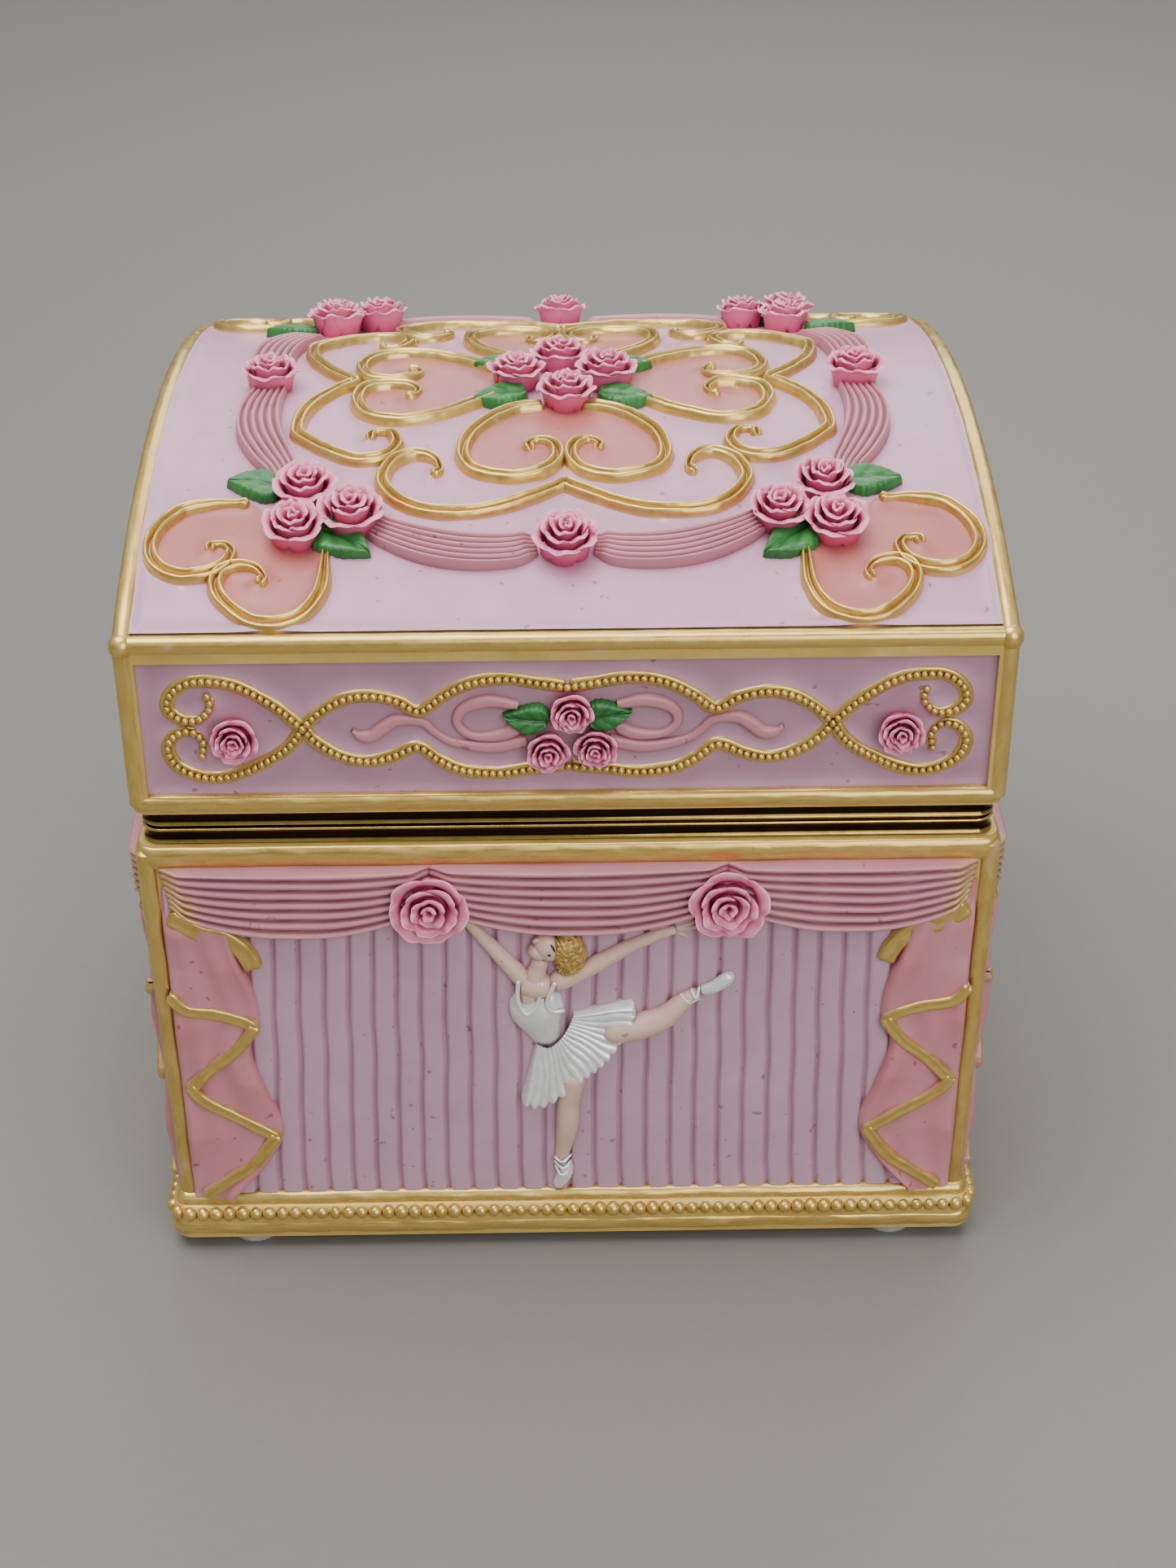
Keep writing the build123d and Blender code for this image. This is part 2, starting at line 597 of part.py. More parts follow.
def mirror():
    x = MIRROR_WIDTH / 2
    y = MIRROR_DEPTH / 2
    return slab(-x, x, -y, y, LID_BOARD_BOTTOM - MIRROR_THICKNESS, LID_BOARD_BOTTOM)


def mirror_frame():
    x = MIRROR_WIDTH / 2
    y = MIRROR_DEPTH / 2
    bottom = LID_BOARD_BOTTOM - MIRROR_THICKNESS - 1
    frame = slab(
        -x - MIRROR_RIM, x + MIRROR_RIM, -y - MIRROR_RIM, y + MIRROR_RIM, bottom, LID_BOARD_BOTTOM
    )
    frame -= slab(-x, x, -y, y, bottom + 1, LID_BOARD_BOTTOM + 1)
    return frame - slab(2 - x, x - 2, 2 - y, y - 2, bottom - 1, LID_BOARD_BOTTOM)


# --- hinge -------------------------------------------------------------------------------
def knuckle_span(index):
    total = KNUCKLE_COUNT * KNUCKLE_LENGTH
    start = index * KNUCKLE_LENGTH - total / 2
    return start + KNUCKLE_GAP / 2, start + KNUCKLE_LENGTH - KNUCKLE_GAP / 2


def hinge_leaf(indices, low, high, bore):
    """Knuckles with leaves reaching forward to the bezel's back face."""
    bezel_back = LID_DEPTH / 2 - BEZEL_INSET
    knuckles = []
    for index in indices:
        x0, x1 = knuckle_span(index)
        knuckle = rod_x(x0, x1, HINGE_Y, HINGE_Z, KNUCKLE_RADIUS)
        knuckle += slab(x0, x1, bezel_back, HINGE_Y, low, high)
        knuckles.append(knuckle - rod_x(x0 - 1, x1 + 1, HINGE_Y, HINGE_Z, bore))
    return group(knuckles)


def case_hinge():
    high = CASE_BEZEL_TOP
    return hinge_leaf(range(0, KNUCKLE_COUNT, 2), high - LEAF_THICKNESS, high, PIN_RADIUS)


def lid_hinge():
    low = LID_BEZEL_BOTTOM
    return hinge_leaf(range(1, KNUCKLE_COUNT, 2), low, low + LEAF_THICKNESS, PIN_RADIUS + RUNNING_FIT)


def hinge_pin():
    half = KNUCKLE_COUNT * KNUCKLE_LENGTH / 2 + 0.8
    return rod_x(-half, half, HINGE_Y, HINGE_Z, PIN_RADIUS)


# --- ornament on the lid -----------------------------------------------------------------
def quadrants():
    return [(sx, sy) for sx in (-1, 1) for sy in (-1, 1)]


def on_dome(x, y, shape):
    """Stand a shape on the lid top at (x, y)."""
    placed = Pos(x, y, dome_height(y) - 0.6) * Rot(-dome_tilt(y), 0, 0) * shape
    return placed - dome_block(0, LID_WIDTH, LID_DEPTH / 2, CASE_TOP)


def dome_relief(face, height):
    """Prism of a flat face cut to a layer of even height on the lid top."""
    prism = Pos(0, 0, LID_EDGE - 5) * extrude(face, amount=40)
    half_y = LID_DEPTH / 2 - 1
    layer = dome_block(height, LID_WIDTH / 2 - 1, half_y, LID_EDGE - 4) - dome_block(
        0, LID_WIDTH, LID_DEPTH, LID_EDGE - 10
    )
    return prism & layer


def lid_rose_points():
    points = list(CENTRE_ROSES)
    points += [(SIDE_ROSE_X, 0), (-SIDE_ROSE_X, 0), (0, FRONT_ROSE_Y), (0, -FRONT_ROSE_Y)]
    return points + [(sx * x, sy * y) for sx, sy in quadrants() for x, y in CLUSTER]


def lid_roses():
    return group([on_dome(x, y, rose(ROSE_RADIUS, ROSE_HEIGHT)) for x, y in lid_rose_points()])


def rose_clearance():
    """Room for the roses, upright to each one's own lean."""
    return union([
        Pos(x, y, dome_height(y)) * Rot(-dome_tilt(y), 0, 0) * Cylinder(ROSE_RADIUS + FIT, 30)
        for x, y in lid_rose_points()
    ])


def lid_leaf_places():
    places = list(CENTRE_LEAVES)
    for sx, sy in quadrants():
        for x, y, turn in LEAF_STEMS:
            angle = turn if sx > 0 else 180 - turn
            places.append((sx * x, sy * y, angle * sy))
    return places


def lid_leaves():
    clearance = rose_clearance()
    return group([
        on_dome(x, y, Rot(0, 0, turn) * leaf(LEAF_LENGTH, HEART_RELIEF + 1.2)) - clearance
        for x, y, turn in lid_leaf_places()
    ])


def laid_under(pieces):
    """Relief pieces cut back from the roses and leaves that lie over them."""
    clearance = rose_clearance()
    leaves = lid_leaves()
    return group([piece - clearance - leaves for piece in pieces])


def lid_hearts():
    hearts = []
    for turn in (0, 90, 180, 270):
        face = Rot(0, 0, turn) * Pos(0, -CENTRE_HEART_TIP, 0) * heart_face(CENTRE_HEART)
        hearts.append(dome_relief(face, HEART_RELIEF))
    for sx, sy in quadrants():
        turn = math.degrees(math.atan2(sy, sx)) + 90
        face = Pos(sx * CORNER_HEART_TIP, sy * CORNER_HEART_TIP, 0) * Rot(0, 0, turn)
        hearts.append(dome_relief(face * heart_face(CORNER_HEART), HEART_RELIEF))
    return laid_under(hearts)


def lid_swags():
    swags = []
    for side in (-1, 1):
        for turn in (0, 90, 180, 270):
            reach = SIDE_SWAG_REACH if turn % 180 else FRONT_SWAG_REACH
            place = Rot(0, 0, turn) * Pos(side * LID_SWAG_OFFSET, -reach, 0)
            face = place * swag_face(LID_SWAG_WIDTH, LID_SWAG_DROP, LID_SWAG_BAND)
            swags.append(dome_relief(face, SWAG_RELIEF))
    return laid_under(swags)


def lid_faces():
    return face_planes(LID_BOTTOM, LID_WIDTH / 2 - PANEL_RECESS, LID_DEPTH / 2 - PANEL_RECESS, 0)


def band_rose_points():
    return [(across, LID_SIDE_HEIGHT / 2 + up) for across, up in BAND_ROSES]


def lid_band_roses():
    return group([
        plane * Pos(x, y, 0) * rose(BAND_ROSE_RADIUS, BAND_ROSE_HEIGHT)
        for plane in lid_faces()
        for x, y in band_rose_points()
    ])


def ellipse_ring(half_x, half_y, band):
    return Ellipse(half_x, half_y) - Ellipse(half_x - band, half_y - band)


def lid_bands():
    """Beaded scroll band on each lid face: a loop at each end and a long one between."""
    middle = LID_SIDE_HEIGHT / 2
    face = Pos(0, middle) * ellipse_ring(*BAND_MIDDLE, BAND_WIDTH)
    for side in (-1, 1):
        face += Pos(side * BAND_LOOP_X, middle) * ellipse_ring(*BAND_LOOP, BAND_WIDTH)
    band = extrude(face, amount=SCROLL_RELIEF)
    roses = union([Pos(x, y, -5) * Cylinder(BAND_ROSE_RADIUS + FIT, 60) for x, y in band_rose_points()])
    return group([plane * (band - roses) for plane in lid_faces()])


# --- musical movement --------------------------------------------------------------------
def bedplate():
    pad_top = CYLINDER_Z - COMB_THICKNESS / 2
    pad_y = COMB_TIP_Y - COMB_LENGTH
    plate = slab(-18.0, OUTER_BEARING_X + 10, pad_y - 3, STAGE_Y + 24, FLOOR_TOP, BEDPLATE_TOP)
    plate += slab(CYLINDER_X, CYLINDER_X + CYLINDER_LENGTH, pad_y, pad_y + 7, FLOOR_TOP, pad_top)
    plate -= rod(0, STAGE_Y, FLOOR_TOP - 1, BEDPLATE_TOP + 1, ARBOR_RADIUS + RUNNING_FIT)
    for x, y in bedplate_screw_points():
        plate -= rod(x, y, FLOOR_TOP - 1, BEDPLATE_TOP + 1, SCREW_RADIUS)
    for x, y in comb_screw_points():
        plate -= rod(x, y, pad_top - 4, pad_top + 1, SCREW_RADIUS)
    return plate


def bedplate_screws():
    length = FLOOR_THICKNESS + BEDPLATE_THICKNESS
    return group([screw_up(x, y, FLOOR_BOTTOM, length) for x, y in bedplate_screw_points()])


def comb_screw_points():
    y = COMB_TIP_Y - COMB_LENGTH + 3.5
    return [(CYLINDER_X + share * CYLINDER_LENGTH, y) for share in (0.2, 0.5, 0.8)]


def comb():
    low = CYLINDER_Z - COMB_THICKNESS / 2
    back = COMB_TIP_Y - COMB_LENGTH
    plate = slab(CYLINDER_X, CYLINDER_X + CYLINDER_LENGTH, back, COMB_TIP_Y, low, low + COMB_THICKNESS)
    pitch = CYLINDER_LENGTH / COMB_TEETH
    for index in range(1, COMB_TEETH):
        x = CYLINDER_X + index * pitch
        plate -= slab(x - COMB_SLIT / 2, x + COMB_SLIT / 2, back + 7, COMB_TIP_Y + 1, low - 1, low + 3)
    for x, y in comb_screw_points():
        plate -= rod(x, y, low - 1, low + 3, SCREW_RADIUS)
    return plate


def comb_screws():
    top = CYLINDER_Z + COMB_THICKNESS / 2
    return group([
        rod(x, y, top - COMB_THICKNESS - 4, top, SCREW_RADIUS) + rod(x, y, top, top + 1, SCREW_HEAD_RADIUS)
        for x, y in comb_screw_points()
    ])


def bearing(x0, y0, y1, holes):
    plate = slab(x0, x0 + BEARING_THICKNESS, y0, y1, BEDPLATE_TOP, CYLINDER_Z + 3)
    for y in holes:
        plate -= rod_x(x0 - 1, x0 + BEARING_THICKNESS + 1, y, CYLINDER_Z, CYLINDER_SHAFT_RADIUS + RUNNING_FIT)
    return plate


def bearings():
    return group([
        bearing(BEARING_X, STAGE_Y - 4, STAGE_Y + 4, [STAGE_Y]),
        bearing(FAR_BEARING_X, STAGE_Y - 4, GOVERNOR_Y + 3, [STAGE_Y, GOVERNOR_Y]),
        bearing(OUTER_BEARING_X, GOVERNOR_Y - 3, GOVERNOR_Y + 3, [GOVERNOR_Y]),
    ])


def fan_bracket():
    arm_bottom = FAN_TOP + 1.0
    foot = slab(FAN_X - 2, FAN_POST_X + 2, FAN_Y - 2, FAN_Y + 2, BEDPLATE_TOP, BEDPLATE_TOP + 1)
    post = slab(FAN_POST_X, FAN_POST_X + 2, FAN_Y - 2, FAN_Y + 2, BEDPLATE_TOP, arm_bottom + 1.2)
    arm = slab(FAN_X - 1.5, FAN_POST_X + 2, FAN_Y - 1.5, FAN_Y + 1.5, arm_bottom, arm_bottom + 1.2)
    return foot + post + arm - rod(FAN_X, FAN_Y, BEDPLATE_TOP + 0.3, arm_bottom + 2, 0.5 + RUNNING_FIT)


def spring_barrel():
    flange_top = BARREL_BOTTOM + CROWN_FLANGE
    rim = CROWN_PITCH_RADIUS + PINION_WIDTH / 2 + 0.4
    barrel = rod(0, STAGE_Y, BARREL_BOTTOM, flange_top, rim)
    barrel += rod(0, STAGE_Y, flange_top, BARREL_TOP, BARREL_RADIUS)
    inner = BARREL_RADIUS - BARREL_WALL
    barrel -= rod(0, STAGE_Y, flange_top, BARREL_TOP - BARREL_WALL, inner)
    barrel -= rod(0, STAGE_Y, BARREL_BOTTOM - 1, BARREL_TOP - BARREL_WALL, ARBOR_RADIUS + RUNNING_FIT)
    tooth_length = rim - BARREL_RADIUS
    tooth_top = CROWN_PITCH_Z + ADDENDUM
    for index in range(CROWN_TEETH):
        turn = Pos(0, STAGE_Y, 0) * Rot(0, 0, (index + 0.5) * 360 / CROWN_TEETH)
        half = TOOTH_THICKNESS / 2
        barrel += turn * slab(rim - tooth_length, rim, -half, half, flange_top, tooth_top)
    return barrel


def mainspring():
    """Spiral ribbon of half rings inside the barrel."""
    thickness = 0.5
    start = ARBOR_RADIUS + 1.4
    step = (BARREL_RADIUS - BARREL_WALL - start - 1.0) / SPRING_TURNS
    low = BARREL_BOTTOM + CROWN_FLANGE + 0.6
    high = BARREL_TOP - BARREL_WALL - 0.6
    spiral = []
    for index in range(2 * SPRING_TURNS):
        radius = start + index * step / 2 + step / 4
        shift = step / 4 if index % 2 else -step / 4
        half = Cylinder(radius + thickness / 2, high - low) - Cylinder(radius - thickness / 2, high - low)
        side = 1 if index % 2 else -1
        half &= Pos(0, side * 50, 0) * Box(100, 100, 40)
        spiral.append(Pos(shift, STAGE_Y, (low + high) / 2) * half)
    return union(spiral)


def spindle():
    return rod(0, STAGE_Y, BARREL_TOP, TURNTABLE_BOTTOM, SPINDLE_RADIUS)


def spindle_bush():
    outer = SPINDLE_RADIUS + 1.5
    bush = rod(0, STAGE_Y, DECK_BOTTOM, DECK_TOP + 1.2, outer)
    bush += rod(0, STAGE_Y, DECK_TOP, DECK_TOP + 1.2, outer + 1.5)
    return bush - rod(0, STAGE_Y, DECK_BOTTOM - 1, DECK_TOP + 3, SPINDLE_RADIUS + RUNNING_FIT)


def turntable():
    disc = rod(0, STAGE_Y, TURNTABLE_BOTTOM, TURNTABLE_TOP, TURNTABLE_RADIUS)
    return fillet(disc.faces().sort_by(Axis.Z)[-1].edges(), 0.8)


def dancer_levels():
    waist = TURNTABLE_TOP + DANCER_HEIGHT * 0.58
    shoulder = TURNTABLE_TOP + DANCER_HEIGHT * 0.76
    head = TURNTABLE_TOP + DANCER_HEIGHT * 0.86
    return waist, shoulder, head


def upright_cone(x, z0, z1, low_radius, high_radius):
    return Pos(x, STAGE_Y, (z0 + z1) / 2) * Cone(low_radius, high_radius, z1 - z0)


def dancer():
    waist, shoulder, head = dancer_levels()
    figure = upright_cone(0, TURNTABLE_TOP, waist - 3, 1.1, 2.2)
    figure += upright_cone(0, waist - 3.2, shoulder, 2.4, 3.4)
    figure += upright_cone(0, shoulder - 0.2, head, 1.5, 1.2)
    figure += Pos(0, STAGE_Y, head) * Sphere(3.4)
    figure += Pos(0, STAGE_Y, head + 3.2) * Sphere(1.8)
    for side in (-1, 1):
        arm = Pos(0, 0, 3.5) * Cone(1.2, 0.8, 9)
        figure += Pos(side * 3.0, STAGE_Y, shoulder - 1) * Rot(0, side * 62, 0) * arm
    return figure


def dancer_tutu():
    waist = dancer_levels()[0]
    skirt = upright_cone(0, waist - 2.4, waist - 0.6, TUTU_RADIUS, TUTU_RADIUS * 0.4)
    return skirt - rod(0, STAGE_Y, waist - 5, waist + 2, 2.5) - dancer()


def winding_arbor():
    top = BARREL_TOP - BARREL_WALL - 0.8
    return rod(0, STAGE_Y, FLOOR_BOTTOM - 1.0, top, ARBOR_RADIUS)


def winding_key():
    top = FLOOR_BOTTOM - 1.0
    stem = rod(0, STAGE_Y, top - 3, top, ARBOR_RADIUS + 1)
    wings = slab(-KEY_WING, KEY_WING, -KEY_THICKNESS / 2, KEY_THICKNESS / 2, top - KEY_HEIGHT, top - 1.5)
    wings = fillet(wings.edges().filter_by(Axis.Y), 2.2)
    return stem + Pos(0, STAGE_Y, 0) * wings


def pin_cylinder():
    end = CYLINDER_X + CYLINDER_LENGTH
    drum = rod_x(CYLINDER_X, end, STAGE_Y, CYLINDER_Z, CYLINDER_RADIUS)
    pitch = CYLINDER_LENGTH / COMB_TEETH
    for index in range(MELODY_PINS):
        lane = (index * 7) % COMB_TEETH
        x = CYLINDER_X + (lane + 0.5) * pitch
        reach = CYLINDER_RADIUS + MELODY_PIN_HEIGHT
        peg = Pos(0, 0, reach / 2) * Cylinder(MELODY_PIN_RADIUS, reach)
        drum += Pos(x, STAGE_Y, CYLINDER_Z) * Rot(index * 360 / MELODY_PINS + 3, 0, 0) * peg
    return drum - rod_x(CYLINDER_X - 1, end + 1, STAGE_Y, CYLINDER_Z, CYLINDER_SHAFT_RADIUS)


def cylinder_arbor():
    end = FAR_BEARING_X + BEARING_THICKNESS + 0.4
    shaft = rod_x(PINION_X - 0.4, end, STAGE_Y, CYLINDER_Z, CYLINDER_SHAFT_RADIUS)
    shaft += gear_x(PINION_TEETH, PINION_RADIUS, PINION_X, PINION_X + PINION_WIDTH, STAGE_Y, CYLINDER_Z)
    return shaft + gear_x(
        GREAT_WHEEL_TEETH, GREAT_WHEEL_RADIUS, GREAT_WHEEL_X, GREAT_WHEEL_X + 1.2, STAGE_Y, CYLINDER_Z
    )


def governor_wheel():
    end = OUTER_BEARING_X + BEARING_THICKNESS + 0.4
    shaft = rod_x(GREAT_WHEEL_X - 0.4, end, GOVERNOR_Y, CYLINDER_Z, CYLINDER_SHAFT_RADIUS)
    half_tooth = 180 / GOVERNOR_PINION_TEETH
    shaft += gear_x(
        GOVERNOR_PINION_TEETH,
        GOVERNOR_PINION_RADIUS,
        GREAT_WHEEL_X,
        GREAT_WHEEL_X + 1.2,
        GOVERNOR_Y,
        CYLINDER_Z,
        -90 + half_tooth,
    )
    return shaft + gear_x(
        GOVERNOR_WHEEL_TEETH,
        GOVERNOR_WHEEL_RADIUS,
        GOVERNOR_WHEEL_X,
        GOVERNOR_WHEEL_X + 1.2,
        GOVERNOR_Y,
        CYLINDER_Z,
    )


def governor_fan():
    fan = rod(FAN_X, FAN_Y, BEDPLATE_TOP + 0.6, FAN_TOP + 2.0, 0.5)
    fan += rod(FAN_X, FAN_Y, CYLINDER_Z - 5, CYLINDER_Z + 5, WORM_RADIUS - 0.3)
    for index in range(9):
        z = CYLINDER_Z - 4.4 + index * 1.1
        fan += rod(FAN_X, FAN_Y, z - 0.25, z + 0.25, WORM_RADIUS)
    return fan + slab(
        FAN_X - FAN_RADIUS, FAN_X + FAN_RADIUS, FAN_Y - 0.3, FAN_Y + 0.3, FAN_BOTTOM, FAN_TOP
    )


# --- lid stop pin ------------------------------------------------------------------------
def stop_pin():
    collar = DECK_BOTTOM - STOP_PIN_TRAVEL - 6.0
    low = FLOOR_TOP + STOP_PIN_TRAVEL + 2.0
    pin = rod(STOP_X, STOP_Y, low, STOP_PIN_TOP, STOP_PIN_RADIUS)
    pin += rod(STOP_X, STOP_Y, collar, collar + 1.2, STOP_COLLAR_RADIUS)
    arm_bottom = FAN_TOP + 1.2
    arm_end = FAN_Y + FAN_RADIUS + 0.5
    return pin + slab(STOP_X - 1, STOP_X + 1, arm_end, STOP_Y, arm_bottom, arm_bottom + 1)


def stop_spring():
    """Rings standing in for the coils between the floor and the collar."""
    top = DECK_BOTTOM - STOP_PIN_TRAVEL - 6.0
    pitch = (top - FLOOR_TOP) / STOP_SPRING_RINGS
    radius = STOP_PIN_RADIUS + 0.3 + STOP_WIRE_RADIUS
    return group([
        Pos(STOP_X, STOP_Y, FLOOR_TOP + (index + 0.5) * pitch) * Torus(radius, STOP_WIRE_RADIUS)
        for index in range(STOP_SPRING_RINGS)
    ])


def stop_guide():
    guide = rod(STOP_X, STOP_Y, DECK_BOTTOM, DECK_TOP + 0.8, STOP_PIN_RADIUS + 1)
    guide += rod(STOP_X, STOP_Y, DECK_TOP, DECK_TOP + 0.8, STOP_PIN_RADIUS + 2)
    return guide - rod(STOP_X, STOP_Y, DECK_BOTTOM - 1, DECK_TOP + 3, STOP_PIN_RADIUS + RUNNING_FIT)


# --- every node --------------------------------------------------------------------------
def nodes():
    side_dividers, front_divider = dividers()
    return {
        "case_shell": case_shell(),
        "case_bezel": case_bezel(),
        "case_hinge_leaf": case_hinge(),
        "hinge_pin": hinge_pin(),
        "base_plate": base_plate(),
        "base_screws": base_screws(),
        "bumper_feet": bumper_feet(),
        "case_curtains": group([curtains()]),
        "case_valances": valances(),
        "valance_roses": valance_roses(),
        "dancer_relief": dancer_relief(),
        "case_lining": case_lining(),
        "deck": deck(),
        "left_divider": side_dividers[0],
        "right_divider": side_dividers[1],
        "front_divider": front_divider,
        "stage_ring": stage_ring(),
        "spindle_bush": spindle_bush(),
        "stop_pin_guide": stop_guide(),
        "bedplate": bedplate(),
        "bedplate_screws": bedplate_screws(),
        "comb": comb(),
        "comb_screws": comb_screws(),
        "arbor_bearings": bearings(),
        "fan_bracket": fan_bracket(),
        "spring_barrel": spring_barrel(),
        "mainspring": mainspring(),
        "spindle": spindle(),
        "turntable": turntable(),
        "dancer": dancer(),
        "dancer_tutu": dancer_tutu(),
        "winding_arbor": winding_arbor(),
        "winding_key": winding_key(),
        "pin_cylinder": pin_cylinder(),
        "cylinder_arbor": cylinder_arbor(),
        "governor_wheel": governor_wheel(),
        "governor_fan": governor_fan(),
        "stop_pin": stop_pin(),
        "stop_spring": stop_spring(),
        "lid_shell": lid_shell(),
        "lid_bezel": lid_bezel(),
        "lid_hinge_leaf": lid_hinge(),
        "lid_board": lid_board(),
        "mirror": mirror(),
        "mirror_frame": mirror_frame(),
        "lid_hearts": lid_hearts(),
        "lid_swags": lid_swags(),
        "lid_roses": lid_roses(),
        "lid_leaves": lid_leaves(),
        "lid_bands": lid_bands(),
        "lid_band_roses": lid_band_roses(),
    }


os.makedirs("parts", exist_ok=True)
for name, shape in nodes().items():
    export_step(shape, f"parts/{name}.step")
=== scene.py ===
import json
import math
import bpy
import numpy as np
from mathutils import Matrix, Vector

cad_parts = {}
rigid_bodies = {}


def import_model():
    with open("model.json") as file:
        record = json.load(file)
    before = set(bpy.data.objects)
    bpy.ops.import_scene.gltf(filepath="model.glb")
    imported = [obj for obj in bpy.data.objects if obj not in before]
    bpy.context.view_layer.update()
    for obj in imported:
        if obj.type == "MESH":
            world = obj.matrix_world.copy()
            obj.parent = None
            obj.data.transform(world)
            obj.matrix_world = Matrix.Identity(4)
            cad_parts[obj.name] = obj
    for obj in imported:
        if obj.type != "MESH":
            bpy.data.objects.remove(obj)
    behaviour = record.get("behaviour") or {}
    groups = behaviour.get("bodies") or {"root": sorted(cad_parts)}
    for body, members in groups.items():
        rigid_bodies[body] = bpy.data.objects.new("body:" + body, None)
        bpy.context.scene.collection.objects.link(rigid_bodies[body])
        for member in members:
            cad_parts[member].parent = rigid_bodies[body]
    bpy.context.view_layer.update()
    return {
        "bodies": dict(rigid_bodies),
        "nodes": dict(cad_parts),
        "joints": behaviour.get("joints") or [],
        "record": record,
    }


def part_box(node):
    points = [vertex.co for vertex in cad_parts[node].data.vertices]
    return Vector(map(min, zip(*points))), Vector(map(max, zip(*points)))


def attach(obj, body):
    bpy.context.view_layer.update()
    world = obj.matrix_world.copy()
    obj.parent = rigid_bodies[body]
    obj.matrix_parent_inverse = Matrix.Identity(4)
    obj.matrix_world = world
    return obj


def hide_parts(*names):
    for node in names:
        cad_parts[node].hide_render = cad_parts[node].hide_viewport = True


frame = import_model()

# Ballerina jewellery box: a hand-painted cast resin box with relief ornament, dressed onto
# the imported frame. Shapes are worked out in millimetres and scaled once, in Cast.piece().

MM = 0.001


def box_mm(node):
    """A node's lowest and highest corners, in millimetres."""
    low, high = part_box(node)
    return np.array(low) / MM, np.array(high) / MM


# --- places taken from the frame ---------------------------------------------------------
LID_LOW, LID_HIGH = box_mm("lid_shell")
CASE_LOW, CASE_HIGH = box_mm("case_shell")
CURTAIN_LOW, CURTAIN_HIGH = box_mm("case_curtains")
TABLE_LOW, TABLE_HIGH = box_mm("turntable")
HALF_W = LID_HIGH[0]
HALF_D = LID_HIGH[1]
LID_BOTTOM = LID_LOW[2]
CREST = LID_HIGH[2]
DOME_RISE = 15.9
LID_EDGE = CREST - DOME_RISE
DOME_RADIUS = (HALF_D**2 + DOME_RISE**2) / (2 * DOME_RISE)
CASE_TOP = CASE_HIGH[2]
PLINTH_BOTTOM = CASE_LOW[2]
PANEL_FOOT = CURTAIN_LOW[2]
PANEL_HEIGHT = CASE_TOP - PANEL_FOOT
CASE_TAPER = 1.1
PANEL_RECESS = 1.6
CURTAIN_HALF_W = CURTAIN_HIGH[0] - CASE_TAPER
CURTAIN_HALF_D = CURTAIN_HIGH[1] - CASE_TAPER
STAGE_Y = (TABLE_LOW[1] + TABLE_HIGH[1]) / 2

# --- paint colours (linear) --------------------------------------------------------------
LILAC = (0.560, 0.300, 0.420)
MAUVE = (0.420, 0.240, 0.310)
CURTAIN_MAUVE = (0.530, 0.330, 0.420)
SWAG_PINK = (0.540, 0.225, 0.260)
# painted shade colour for the grooves and edges of swags and ribbons
SWAG_PAINTED_SHADE = (0.300, 0.115, 0.150)
HEART_PINK = (0.450, 0.135, 0.120)
ROSE_PINK = (0.800, 0.215, 0.360)
ROSE_DEEP = (0.600, 0.060, 0.160)
ROSE_PALE = (0.900, 0.440, 0.580)
LEAF_GREEN = (0.008, 0.110, 0.020)
LEAF_LIGHT = (0.040, 0.260, 0.045)
GOLD_PAINT = (0.560, 0.360, 0.100)
SKIN = (0.700, 0.490, 0.370)
PEARL = (0.780, 0.770, 0.780)
HAIR = (0.540, 0.340, 0.080)
INK = (0.010, 0.008, 0.008)
LIP = (0.700, 0.220, 0.230)


# --- small maths -------------------------------------------------------------------------
def smooth(low, high, value):
    """Smooth step from 0 at `low` to 1 at `high`."""
    t = np.clip((value - low) / (high - low), 0, 1)
    return t * t * (3 - 2 * t)


def wobble(value, seed, scale=1.0):
    """Slow repeatable noise between -1 and 1 along one value."""
    v = np.asarray(value) * scale
    waves = np.sin(v * 0.61 + seed * 1.7) + 0.6 * np.sin(v * 1.37 + seed * 3.1)
    return (waves + 0.4 * np.sin(v * 2.9 + seed * 5.3)) / 2.0


def wobble2(a, b, seed, scale=1.0):
    """Slow repeatable noise between -1 and 1 over two values."""
    return 0.6 * wobble(a + 0.7 * b, seed, scale) + 0.5 * wobble(b - 0.6 * a, seed + 2.3, scale)


def mix(first, second, share):
    """Blend two colours, or two arrays of colours, by an array of shares."""
    share = np.asarray(share)[..., None]
    return np.asarray(first) * (1 - share) + np.asarray(second) * share


def flat(colour, shape):
    return np.broadcast_to(np.asarray(colour, float), (*shape, 3)).copy()


def smooth_path(points, step):
    """Catmull-Rom curve through the points, resampled at even steps."""
    pts = np.array(points, float)
    pts = np.vstack([2 * pts[0] - pts[1], pts, 2 * pts[-1] - pts[-2]])
    t = np.linspace(0, 1, 24, endpoint=False)[:, None]
    fine = []
    for p0, p1, p2, p3 in zip(pts, pts[1:], pts[2:], pts[3:]):
        fine.append(0.5 * (2 * p1 + (p2 - p0) * t + (2 * p0 - 5 * p1 + 4 * p2 - p3) * t**2
                           + (3 * p1 - p0 - 3 * p2 + p3) * t**3))
    fine = np.vstack([*fine, pts[-2]])
    along = np.concatenate([[0], np.cumsum(np.linalg.norm(np.diff(fine, axis=0), axis=1))])
    count = max(3, int(round(along[-1] / step)) + 1)
    even = np.linspace(0, along[-1], count)
    return np.stack([np.interp(even, along, fine[:, k]) for k in range(fine.shape[1])], axis=1)


def path_frame(path):
    """Arc length, unit tangents and left normals of a plane path."""
    tangent = np.gradient(path, axis=0)
    tangent /= np.linalg.norm(tangent, axis=1)[:, None] + 1e-9
    steps = np.linalg.norm(np.diff(path, axis=0), axis=1)
    along = np.concatenate([[0], np.cumsum(steps)])
    return along, tangent, np.stack([-tangent[:, 1], tangent[:, 0]], axis=1)


